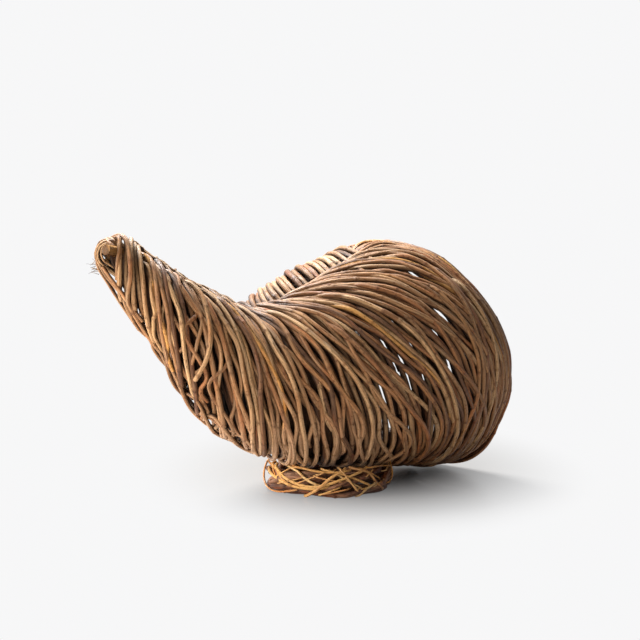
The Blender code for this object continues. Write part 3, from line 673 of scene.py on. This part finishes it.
# rods laid one by one: bark, radius, level, thousandths of the winding, angles
SINGLE_RODS = (
    ("willow", 0.0023, 0.0036, (190, 245, 255, 255, 240, 225, 216), (22, 53, 58, 66, 82, 101, 112)),
    ("pale_willow", 0.003, 0.0052, (230, 266, 272, 265, 253, 235, 223), (18, 36, 60, 77, 91, 108, 120)),
    ("pale_willow", 0.0026, 0.004, (150, 195, 208, 209, 208, 210, 218), (20, 57, 70, 84, 101, 124, 150)),
    ("willow", 0.0024, 0.0034, (120, 155, 172, 177, 176, 182, 190), (20, 50, 71, 85, 104, 124, 150)),
    ("pale_willow", 0.0028, 0.0042, (255, 318, 332, 330, 328, 330, 322, 322), (18, 58, 70, 84, 97, 112, 140, 182)),
    ("willow", 0.0027, 0.004, (250, 290, 297, 301, 309, 320, 325), (30, 60, 80, 97, 112, 130, 178)),
    ("pale_willow", 0.0029, 0.0044, (372, 425, 434, 444, 445, 441, 443, 446), (14, 45, 66, 82, 98, 115, 141, 184)),
    ("willow", 0.0029, 0.0036, (350, 385, 393, 403, 411, 420, 424), (30, 64, 86, 102, 119, 136, 184)),
    ("gold_cane", 0.0024, 0.004, (330, 375, 398, 412, 418, 412, 400), (20, 50, 68, 82, 96, 110, 124)),
    ("dark_bark", 0.0028, 0.0046, (310, 350, 374, 374, 358, 350, 350), (20, 46, 64, 84, 103, 130, 180)),
    ("stripped_rod", 0.003, 0.0046, (575, 610, 642, 664, 692, 728, 750, 742), (60, 78, 95, 107, 118, 130, 145, 164)),
    ("pale_willow", 0.0028, 0.0044, (440, 500, 545, 572, 584, 585, 575, 570), (30, 52, 76, 93, 109, 126, 149, 182)),
    ("stripped_rod", 0.003, 0.0034, (700, 755, 790, 812, 826, 838), (42, 52, 60, 71, 86, 104)),
    ("willow", 0.003, 0.004, (850, 905, 922, 915, 899, 893, 888, 886), (24, 36, 52, 71, 88, 103, 125, 172)),
    ("pale_willow", 0.0028, 0.0046, (640, 705, 750, 775, 792, 812, 828, 833), (45, 60, 74, 88, 102, 120, 138, 176)),
    ("willow", 0.0027, 0.004, (800, 860, 900, 932, 955, 960), (40, 60, 84, 108, 132, 160)),
    ("dark_bark", 0.0028, 0.0042, (925, 930, 918, 900, 878, 870), (36, 60, 85, 108, 130, 165)),
    ("willow", 0.0029, 0.0044, (700, 765, 826, 884, 924, 938), (58, 78, 97, 115, 133, 168)),
    ("pale_willow", 0.0026, 0.004, (958, 955, 943, 927, 915), (46, 72, 97, 121, 160)),
    ("stripped_rod", 0.0027, 0.0044, (860, 880, 884, 872, 850, 838), (50, 70, 92, 112, 132, 160)),
)
SINGLE_TUCK = 0.006
SINGLE_END_TUCK = 0.005
TOP_LEVEL = 0.005


def smooth_way(ways, row, along):
    """A smooth line through the stops of one row of ways, read where along is, from 0 to 1."""
    last = ways.shape[1] - 1
    place = np.clip(along, 0, 1) * last
    step = np.clip(place.astype(int), 0, last - 1)
    t = (place - step)[:, None]
    stop = [ways[row, np.clip(step + shift, 0, last)] for shift in (-1, 0, 1, 2)]
    bend = stop[1] + t * (stop[2] - stop[0]) / 2
    bend += t**2 * (stop[0] - 2.5 * stop[1] + 2 * stop[2] - stop[3] / 2)
    return bend + t**3 * (1.5 * (stop[1] - stop[2]) + (stop[3] - stop[0]) / 2)


def through(stops, count):
    """A smooth line of count points through single stops."""
    return smooth_way(np.array(stops, float)[None], np.zeros(count, int), np.linspace(0, 1, count))


def near_way(line, along):
    """Share and angle on the near side: line picks the way across it, along runs from 0 to 1."""
    line = np.clip(line, 0, len(NEAR_FLOW) - 1)
    first = np.clip(line.astype(int), 0, len(NEAR_FLOW) - 2)
    low, high = smooth_way(NEAR_FLOW, first, along), smooth_way(NEAR_FLOW, first + 1, along)
    return (low + (line - first)[:, None] * (high - low)).T


rng = np.random.default_rng(19)
covers = {slot: [] for slot in BARKS}
for interval, count in enumerate(RODS_BETWEEN):
    for number in range(count):
        middle = interval + (number + rng.uniform(0.2, 0.8)) / count
        start = 0 if rng.random() < 0.65 else rng.uniform(0, 0.35)
        end = 1 if rng.random() < 0.7 else rng.uniform(0.7, 1)
        along = np.linspace(start, end, 150)
        drift, stray = (0.45, 0.14) if interval < MIDDLE_WAYS else (0.6, 0.2)
        line = middle + rng.uniform(-drift, drift) * (along - 0.5) + stray * soft_noise(rng, along, 0.45)
        share, degrees = near_way(line, along)
        share = share + 0.0055 * soft_noise(rng, along, 0.45)
        ends = 1 - eased(along, start, start + 0.07) + eased(along, end - 0.06, end)
        out = rng.uniform(*COVER_LEVEL) + UNEVENNESS * soft_noise(rng, along, 0.4) - COVER_TUCK * ends
        out -= MOUTH_SINK * eased(share, *MOUTH_EASE)
        thick = rng.uniform(*COVER_RADIUS) * (0.86 if interval < TAIL_WAYS else 1)
        slot = rng.choice(list(covers), p=COVER_BARKS)
        path = horn_point(np.clip(share, 0, 1), degrees, out)
        covers[slot].append(grown_rod(rng, path, thick, tip=rng.uniform(0.75, 1.0), rise=out))
for slot, thick, level, thousandths, angles in SINGLE_RODS:
    steps = np.linspace(0, 1, 140)
    share, degrees = through(np.transpose([thousandths, angles]) / (1000, 1), 140).T
    out = level + 0.0005 * soft_noise(rng, steps, 0.4) - SINGLE_TUCK * (1 - eased(steps, 0, 0.1))
    if level < TOP_LEVEL:
        out -= SINGLE_END_TUCK * eased(steps, 0.92, 1)
    covers[slot].append(grown_rod(rng, horn_point(share, degrees, out), thick, tip=0.85, rise=out))
for slot, rods in covers.items():
    bind("cover_rods_" + slot, rods, slot)


# The far side and the tail have shorter rods pushed in between the turns, over and under them, that
# start and end inside the wall. Nine longer ones close the throat's far side, where the turns fan out.
LOOSE_RODS = 46
LOOSE_LEVEL = (0.003, 0.005)
LOOSE_RADIUS = (0.0016, 0.0026)
LOOSE_TUCK = 0.0085
LOOSE_BARKS = (0.4, 0.24, 0.1, 0.18, 0.08)
LOOSE_LAST_ANGLE = 366
THROAT_RODS = 9
THROAT_LEVEL = (-0.0005, 0.0025)
THROAT_RADIUS = (0.0025, 0.003)
THROAT_TUCK = 0.0065

rng = np.random.default_rng(23)
loose = {slot: [] for slot in BARKS}
for number in range(LOOSE_RODS):
    start_turn = rng.uniform(1, TURNS - 3)
    start = rng.uniform(150, 250)
    sweep = min(rng.uniform(90, 200), LOOSE_LAST_ANGLE - start)
    degrees = np.linspace(start, start + sweep, 120)
    turns = start_turn + degrees / 360 + 0.4 * soft_noise(rng, degrees, 260)
    turns += rng.uniform(-0.9, 0.9) * (degrees - start) / sweep
    lean = tail_lean(off_ridge(degrees))
    share = np.clip(turns / TURNS + lean * np.interp(turns / TURNS, *RIDGE_LEAN), 0, 1)
    ends = eased(np.abs(degrees - (start + sweep / 2)), sweep * 0.38, sweep * 0.5)
    out = rng.uniform(*LOOSE_LEVEL) - LOOSE_TUCK * ends
    thick = rng.uniform(*LOOSE_RADIUS)
    slot = rng.choice(list(loose), p=LOOSE_BARKS)
    loose[slot].append(grown_rod(rng, horn_point(share, degrees, out), thick, tip=rng.uniform(0.6, 1.0), rise=out))
for part in np.linspace(0.06, 0.94, THROAT_RODS):
    degrees = np.linspace(178, LOOSE_LAST_ANGLE, 150)
    fan = eased(off_ridge(degrees), -170, -45)
    share = 0.44 + 0.08 * part - 0.09 * (1 - part) * fan + 0.003 * soft_noise(rng, degrees, 150)
    out = rng.uniform(*THROAT_LEVEL) - THROAT_TUCK * eased(np.abs(degrees - 272), 75, 94)
    slot = rng.choice(list(loose), p=LOOSE_BARKS)
    path = horn_point(share, degrees, out)
    loose[slot].append(grown_rod(rng, path, rng.uniform(*THROAT_RADIUS), rise=out))
for slot, rods in loose.items():
    bind("loose_rods_" + slot, rods, slot)


# Dark thin rods lie behind the wall and close its gaps, so that little light comes through. Their near-black
# bark is painted shade. The first hundred lie anywhere, the next fifty behind the near side of the throat and
# the mouth, and the last behind the near side of the tail.
BACKING_RODS = 215
FIRST_NEAR_ROD = 100
FIRST_TAIL_ROD = 150
BACKING_DEPTH = -0.008
BACKING_RADIUS = (0.0019, 0.0027)

rng = np.random.default_rng(31)
backing = []
for number in range(BACKING_RODS):
    start_turn = rng.uniform(0.5, TURNS - 2)
    start = rng.uniform(0, 360)
    sweep = rng.uniform(150, 330)
    if number >= FIRST_TAIL_ROD:
        start_turn = TURNS * np.interp(number, (FIRST_TAIL_ROD, BACKING_RODS - 1), (0.01, 0.5))
        start = rng.uniform(20, 50)
        sweep = rng.uniform(130, 150)
    elif number >= FIRST_NEAR_ROD:
        start_turn = TURNS * rng.choice((rng.uniform(0.4, 0.64), rng.uniform(0.9, 0.97)))
        start = rng.uniform(10, 40)
        sweep = rng.uniform(130, 160)
    degrees = np.linspace(start, start + sweep, 110)
    turns = start_turn + (degrees - start) / 360 + rng.uniform(-1.8, 1.8) * (degrees - start) / sweep
    out = BACKING_DEPTH + rng.uniform(-0.0006, 0.0006)
    backing.append(grown_rod(rng, horn_point(turns / TURNS, degrees, out), rng.uniform(*BACKING_RADIUS)))
# near-black painted shade for the rods behind the wall and the tail's pith
painted_shade_bark = bark_finish(
    "painted_shade_bark",
    ((0.07, 0.03, 0.014), (0.045, 0.02, 0.01)),
    (0.08, 0.04, 0.02), (0.1, 0.035, 0.012), 0.86,
)
bind("backing_rods", backing[::2], "dark_bark", bark=painted_shade_bark)
bind("backing_rods_between", backing[1::2], "dark_bark", bark=painted_shade_bark)


# The tail's tip is a ball. Three core rods end in it, one more shows its cut end in the middle, and thin
# rods are bent over them like twine and pushed back under the first turns of the wall.
BALL_RADIUS = 0.0155
BALL_RISE = 0.0085
BALL_SHARE = 0.056
CORE_RADIUS = 0.003
CORE_OFFSET = 0.0035
CUT_RADIUS = 0.0056
CUT_PATH = ((0.013, -0.004, 0.001), (-0.001, -0.024, 0.005))
PITH_RODS = 5
PITH_RADIUS = 0.0042
PITH_OFFSET = 0.0058
LOOP_RADIUS = 0.0021
LOOP_LEG = 0.014
TIP_LOOPS = (("tip_loop_inner", 8, 0.005), ("tip_loop_outer", 96, -0.01))
BEND_ANGLE = 200
WRAPS = 16
WRAPS_ALONG = 11
WRAP_LEG = 0.012
WRAP_RADIUS = (0.0011, 0.0018)
# millimetres from the ball's middle, in the order right, back, up
TIP_RODS = {
    "under_tip_rods": (
        (0.002, (
            (-14.2, -1, -8.2), (-10.8, -1, -17.2), (-4.4, -1, -27.6), (6.0, 0, -44.8),
            (18.4, 1, -58.9), (31.0, 2, -76.2), (44.0, 4, -97.6),
        )),
        (0.0022, (
            (-11.1, -7, -8.0), (-4.5, -10, -20.0), (7.1, -12, -34.0),
            (18.5, -13, -48.0), (29.8, -12, -66.0), (41.8, -10, -84.3),
        )),
        (0.0021, ((-6.1, -14, -12.8), (3.7, -19, -25.7), (15.0, -22, -39.7), (23.1, -21, -52.6), (34.1, -17, -67.7))),
        (0.0018, ((-10.0, 7, -8.0), (-6.0, 4, -22.0), (4.0, 0, -42.0), (16.0, -2, -60.0), (28.0, -2, -78.0))),
    ),
    "tip_loop_rods": (
        (0.0022, ((-1.0, 3, 13.5), (8.8, -9, 16.8), (11.9, -18, 8.4), (10.1, -22, -7.6), (8.8, -20, -25.6))),
        (0.0026, (
            (-1.0, 6, 15.0), (10.4, -6, 18.8), (18.7, -16, 13.4), (22.4, -24, -0.5), (23.6, -27, -20.4),
            (20.1, -24, -45.6), (25.0, -19, -58.8), (37.3, -13, -81.2), (49.3, -8, -98.4),
        )),
    ),
}
HAIRS = 14
HAIR_RADIUS = 0.0003

rng = np.random.default_rng(41)
tip_middle, tip_up, tip_near = (rows[0] for rows in horn_section(np.array([0.0]))[:3])
TIP_AXIS = unit(tip_middle - horn_section(np.array([BALL_SHARE]))[0][0])
TIP_NEAR = unit(tip_near - (tip_near @ TIP_AXIS) * TIP_AXIS)
TIP_UP = np.cross(TIP_NEAR, TIP_AXIS)
TIP_UP *= np.sign(TIP_UP @ tip_up)
BALL = tip_middle + (0, 0, BALL_RISE)
core_share = np.linspace(0.2, 0, 60)
for number, place in enumerate((30, 150, 270), start=1):
    middle, up, near, _, _, _ = horn_section(core_share)
    side = math.radians(place)
    line = middle + CORE_OFFSET * (math.cos(side) * up + math.sin(side) * near)
    line = np.vstack([line, line[-1] + (0.011 - 0.002 * number) * TIP_AXIS + (0, 0, 0.003)])
    core = grown_rod(rng, line, CORE_RADIUS)
    bind(f"core_rod_{number}", [core], "gold_cane", [f"tail_core_{number}"])
stub = grown_rod(rng, BALL + np.linspace(*CUT_PATH, 12), CUT_RADIUS, joints=1.0)
stub_piece = bind("cut_core_end", [stub], "gold_cane")
fresh_cut = CUT_WOOD.copy()
fresh_cut.name = "fresh_cut"
fill(fresh_cut.node_tree.nodes["Principled BSDF"], {"Base Color": (1.0, 0.6, 0.2, 1)})
stub_piece.data.materials[1] = fresh_cut
pith = []
for number in range(PITH_RODS):
    side = 2 * math.pi * number / PITH_RODS
    shift = PITH_OFFSET * (math.cos(side) * TIP_UP + math.sin(side) * TIP_NEAR)
    line = horn_section(np.linspace(0.16, 0.004, 40))[0] + shift
    line = np.vstack([line, BALL + shift - 0.004 * TIP_AXIS])
    pith.append(grown_rod(rng, line, PITH_RADIUS, tip=0.7, rise=-0.006))
# the pith rods take the same near-black painted shade
bind("dark_pith_rods", pith, "dark_bark", bark=painted_shade_bark)


def over_tip(place, shift, radius, leg):
    """A rod bent over the ball: place is its plane's angle round the tail, shift its distance beside it."""
    side = math.radians(place)
    across = math.cos(side) * TIP_UP + math.sin(side) * TIP_NEAR
    square = -math.sin(side) * TIP_UP + math.cos(side) * TIP_NEAR
    bend = np.radians(np.linspace(-BEND_ANGLE / 2, BEND_ANGLE / 2, 70))
    ring = math.sqrt(radius**2 - shift**2)
    arc = BALL + shift * square + ring * (np.outer(np.sin(bend), across) + np.outer(np.cos(bend), TIP_AXIS))
    back = arc[0] + unit(arc[0] - arc[1]) * np.linspace(leg, 0.001, 10)[:, None]
    fore = arc[-1] + unit(arc[-1] - arc[-2]) * np.linspace(0.001, leg, 10)[:, None]
    path = np.vstack([back, arc, fore])
    sunk = np.clip(np.abs(np.arange(len(path)) - (len(path) - 1) / 2) - 35, 0, None) / 10
    return path + np.outer(sunk * 0.0035, -TIP_AXIS * 0.4) - np.outer(sunk, (0, 0, 0.0022))


for name, place, shift in TIP_LOOPS:
    loop = grown_rod(rng, over_tip(place, shift, BALL_RADIUS, LOOP_LEG), LOOP_RADIUS)
    bind(name, [loop], "willow", [name.replace("tip", "tail")])
wraps = []
for number in range(WRAPS):
    lengthwise = number < WRAPS_ALONG
    place = rng.normal(4, 20) if lengthwise else rng.uniform(60, 120)
    shift = -0.0125 + 0.0023 * number if lengthwise else rng.uniform(-0.013, -0.007)
    path = over_tip(place, shift, BALL_RADIUS + rng.uniform(-0.0012, 0.0008), WRAP_LEG)
    wraps.append(grown_rod(rng, path, rng.uniform(*WRAP_RADIUS)))
bind("tip_wraps", wraps, "pale_willow")
for name, laid in TIP_RODS.items():
    rods = [grown_rod(rng, BALL + through(stops, 80) / 1000, thick, tip=0.9, rise=0.002) for thick, stops in laid]
    bind(name, rods, "willow")
hairs = []
for number in range(HAIRS):
    root = BALL - (BALL_RADIUS, 0, 0) + rng.uniform((-0.001, -0.004, -0.022), (0.004, 0.004, 0.002))
    way = np.array((-1, 0, -0.2)) + rng.normal(0, 0.45, 3)
    far = rng.uniform(0.004, 0.01) * np.linspace(0, 1, 6)[:, None]
    hairs.append(grown_rod(rng, root + far * way / np.linalg.norm(way), HAIR_RADIUS, tip=0.4, bump=0))
bind("tip_hairs", hairs, "pale_willow")


# Along the tail's underside a few rods run lengthwise and are plaited through each other, over the ends
# of the wall's turns. Thinner pale ones lie slanting along its ridge and cover the bends there.
PLAIT_RODS = ((0.015, 0.2), (0.03, 0.26), (0.06, 0.27), (0.1, 0.24), (0.15, 0.2), (0.19, 0.18))
PLAIT_STEP = 0.125
PLAIT_ANGLE = 163
PLAIT_HALF_WIDTH = 17
PLAIT_LEVEL = 0.003
PLAIT_RADIUS = (0.0021, 0.0027)
# where a rod starts along the tail, its length, and the angles round the horn where it starts and ends
CREST_RODS = (
    (0.045, 0.15, -20, 12), (0.075, 0.17, -8, 30), (0.105, 0.19, -14, 26), (0.15, 0.18, -2, 40),
    (0.185, 0.19, -16, 24), (0.215, 0.18, 4, 44), (0.24, 0.19, -12, 30),
)
CREST_LEVEL = 0.0028
CREST_TUCK = 0.0055
CREST_RADIUS = (0.0018, 0.0024)

rng = np.random.default_rng(47)
plait = []
for number, (start, length) in enumerate(PLAIT_RODS):
    share = np.linspace(start, start + length, 170)
    sway = 2 * math.pi * share / PLAIT_STEP + number * 2 * math.pi / 3
    ends = eased(np.abs(share - start - length / 2), length * 0.42, length * 0.5)
    degrees = PLAIT_ANGLE + PLAIT_HALF_WIDTH * np.sin(sway) + 3 * soft_noise(rng, share, 0.1)
    out = PLAIT_LEVEL + 0.0022 * np.cos(sway) + 0.0006 * soft_noise(rng, share, 0.06) - 0.006 * ends
    plait.append(grown_rod(rng, horn_point(share, degrees, out), rng.uniform(*PLAIT_RADIUS), tip=0.85))
bind("keel_plait", plait, "willow")
crest = []
for start, length, first, last in CREST_RODS:
    part = np.linspace(0, 1, 120)
    share = start + length * part
    degrees = first + (last - first) * part**1.4 + 3 * soft_noise(rng, share, 0.06)
    ends = eased(np.abs(part - 0.5), 0.38, 0.5)
    out = CREST_LEVEL + 0.0007 * soft_noise(rng, share, 0.05) - CREST_TUCK * ends
    crest.append(grown_rod(rng, horn_point(share, degrees, out), rng.uniform(*CREST_RADIUS), tip=0.8))
bind("crest_rods", crest, "pale_willow")


# The mouth ends in a thick dark hoop and a loose edge rod. Three thin rods are twisted round the edge
# at the near lower side, and one lies along it at the top, beside the wall's last turn.
MOUTH_HOOP_RADIUS = 0.0045
EDGE_RADIUS = 0.003
# start and sweep in degrees, then in metres how far it stands out and how far along the mouth's axis
RIM_RODS = (
    (116, 82, 0.003, 0.003), (126, 70, 0.006, 0.003), (100, 66, 0.0012, 0.003), (-42, 106, -0.0004, -0.0048),
)
RIM_DEPTH = 0.006
RIM_RADIUS = (0.0019, 0.0026)

rng = np.random.default_rng(53)
section = horn_section(np.array([0.885, 1.0]))
MOUTH_AXIS = np.cross(section[2][1], section[1][1])
MOUTH_AXIS *= np.sign(MOUTH_AXIS @ (section[0][1] - section[0][0]))
MOUTH_AXIS = unit(MOUTH_AXIS)


def mouth_ring(out, step, start, sweep, lift):
    """A path round the mouth, out of the horn's surface and past its end, whose ends overlap."""
    degrees = np.linspace(start, start + sweep, 420)
    rise = np.interp(degrees, (start, start + 24, start + sweep - 24, start + sweep), (0, 0, 0, lift))
    return horn_point(1.0, degrees, out + rise) + step * MOUTH_AXIS


hoop = grown_rod(rng, mouth_ring(-0.0115, 0.0035, -130, 380, -0.006), MOUTH_HOOP_RADIUS, joints=0.11)
bind("mouth_ring", [hoop], "dark_bark", ["mouth_hoop"])
edge = grown_rod(rng, mouth_ring(-0.0045, 0.004, 200, 385, -0.005), EDGE_RADIUS)
bind("edge_rod", [edge], "dark_bark", ["mouth_edge_rod"])
rim = []
for start, sweep, lift, step in RIM_RODS:
    degrees = np.linspace(start, start + sweep, 140)
    bow = np.sin(np.linspace(0, math.pi, 140)) ** 0.6
    along = step + 0.001 * soft_noise(rng, degrees, 60)
    way = horn_point(1.0, degrees, -RIM_DEPTH + (RIM_DEPTH + lift) * bow) + np.outer(along, MOUTH_AXIS)
    rim.append(grown_rod(rng, way, rng.uniform(*RIM_RADIUS)))
bind("rim_rods", rim, "stripped_rod")


# The foot is a wreath of vines twisted round each other, pressed flat under the horn's weight: dark
# thick vines at the table and thinner ones over them. Split golden canes are laid slanting over the
# outside and tucked in, and one of them stands off as an open loop.
WREATH_RADIUS = 0.0605
# for each vine: reach, height, sway out, sway up, twists, turns, start in degrees, radius
FOOT_VINES = (
    ("base_vine", "dark_bark", "foot_base_ring", (
        (0.0615, 0.0046, 0.0024, 0.001, 3, 1.03, 20, 0.004), (0.0655, 0.0065, 0.0018, 0.002, 4, 0.5, 205, 0.0034),
    )),
    ("inner_vine", "dark_bark", "foot_inner_ring", ((0.0545, 0.0045, 0.0016, 0.0008, 4, 1.05, 80, 0.0032),)),
    ("middle_vine", "dark_bark", "foot_middle_ring", (
        (0.0605, 0.011, 0.006, 0.005, 3, 1.5, 150, 0.0031), (0.06, 0.013, 0.007, 0.005, 4, 1.3, 20, 0.0028),
    )),
    ("top_vine", "willow", "foot_top_ring", (
        (0.061, 0.0185, 0.005, 0.004, 3, 1.6, 250, 0.0029), (0.06, 0.02, 0.006, 0.004, 2, 1.3, 90, 0.0032),
    )),
    ("side_vine", "willow", "foot_side_vine", (
        (0.0635, 0.015, 0.005, 0.006, 3, 0.9, 200, 0.0034), (0.062, 0.015, 0.007, 0.006, 5, 1.2, 60, 0.0022),
    )),
)
# radius, how many millimetres it stands off, then degrees round the wreath, where the near side is
# 270, and height in millimetres
CANES = (
    (0.0011, 1.5, ((200, 26), (187, 31), (183, 24), (184, 13), (198, 4), (218, 3), (240, 8))),
    (0.0016, 0, ((205, 30), (213, 27), (231, 18), (251, 13), (265, 15), (279, 20), (296, 26), (310, 30))),
    (0.0015, 0, ((222, 33), (239, 28), (250, 20), (262, 14))),
    (0.0017, 0, ((192, 24), (202, 21), (222, 16), (237, 12), (253, 11), (270, 13))),
    (0.0014, 0, ((228, 32), (245, 31), (257, 29), (273, 28), (291, 29))),
    (0.0013, 0.6, ((279, 32), (283, 27), (289, 17), (299, 2))),
    (0.0014, 0.8, ((295, 1), (304, 9), (317, 15))),
    (0.0015, 0.3, ((290, 32), (300, 29), (308, 25), (317, 12), (330, 3))),
    (0.0018, 0.4, ((247, 1), (258, 9), (265, 16), (273, 24), (286, 31))),
    (0.0011, 1.5, ((352, 31), (349, 27), (344, 16), (332, 9))),
    (0.001, 1.0, ((308, 30), (320, 30), (335, 28), (350, 24))),
    (0.0015, 0, ((200, 31), (204, 29), (216, 24), (225, 17), (236, 10))),
    (0.0014, 0, ((262, 31), (271, 29), (284, 25), (298, 18), (313, 9))),
    (0.0016, 0, ((20, 6), (45, 12), (70, 22), (95, 27), (120, 22))),
    (0.0015, 0, ((100, 8), (125, 16), (150, 25), (172, 28))),
    (0.0014, 0, ((60, 26), (85, 17), (110, 9), (135, 6))),
)
UPPER_CANES = 4
SPLINTERS = 15
SPLINTER_RADIUS = (0.0006, 0.0011)
CANE_OFFSET = 0.002
CANE_BULGE = 0.0082
CANE_TUCK = 0.004

rng = np.random.default_rng(61)
foot_bark = bark_finish(
    "foot_bark",
    ((0.26, 0.1, 0.05), (0.13, 0.055, 0.034), (0.46, 0.24, 0.14), (0.2, 0.075, 0.036)),
    (0.46, 0.3, 0.21), (0.42, 0.13, 0.045), 0.5,
)
straw = bark_finish(
    "straw_cane_skin",
    ((0.98, 0.62, 0.24), (0.82, 0.42, 0.13), (1.0, 0.72, 0.36), (0.72, 0.32, 0.105)),
    (0.88, 0.56, 0.25), (0.7, 0.28, 0.075), 0.42, 0.3,
)


def round_foot(radius, way, rise):
    """Points round the foot's middle, at an angle in radians and a height."""
    return FOOT_MIDDLE + np.stack([radius * np.cos(way), radius * np.sin(way), rise], axis=1)


def wreath_vine(reach, height, wide, high, twists, turns, start, thick):
    """A vine that winds round the wreath's core as it goes round the ring."""
    way = np.radians(np.linspace(start, start + 360 * turns, int(220 * turns)))
    twist = twists * way + rng.uniform(0, 2 * math.pi)
    radius = reach + wide * np.cos(twist) + 0.0014 * soft_noise(rng, way, 0.8)
    rise = height + high * np.sin(twist) + 0.001 * soft_noise(rng, way, 1.1)
    return round_foot(radius, way, np.maximum(rise, thick * 1.12))


for name, slot, node, vines in FOOT_VINES:
    rods = [grown_rod(rng, wreath_vine(*vine), vine[-1], joints=0.05, bump=0.24) for vine in vines]
    bind(name, rods, slot, [node], foot_bark)
splinters = []
for number in range(SPLINTERS):
    angle, rise, run = rng.uniform(195, 350), rng.uniform(5, 30), rng.uniform(10, 34)
    slope = rng.choice((-1, 1)) * rng.uniform(0.1, 0.8)
    stops = [
        (angle + run * part, float(np.clip(rise + slope * run * (part - 0.5), 2, 31)))
        for part in (0, 0.35, 0.7, 1)
    ]
    splinters.append((rng.uniform(*SPLINTER_RADIUS), rng.uniform(-0.6, 0.6), stops))
canes = []
for thick, stand, stops in (*CANES, *splinters):
    steps = np.linspace(0, 1, 90)
    way, rise = through(stops, 90).T
    way, rise = np.radians(way), np.maximum(rise / 1000, thick * 1.1)
    ends = eased(np.abs(steps - 0.5), 0.38, 0.5)
    bulge = np.cos(np.clip((rise - 0.012) / 0.016, -1.35, 1.35))
    radius = WREATH_RADIUS + CANE_OFFSET + CANE_BULGE * bulge + stand / 1000 - CANE_TUCK * ends
    canes.append(grown_rod(rng, round_foot(radius, way, rise), thick, bump=0.05))
bind("upper_cane", canes[:UPPER_CANES], "gold_cane", ["foot_upper_vine"], straw)
bind("lacing_cane", canes[UPPER_CANES:], "gold_cane", ["foot_lacing"], straw)
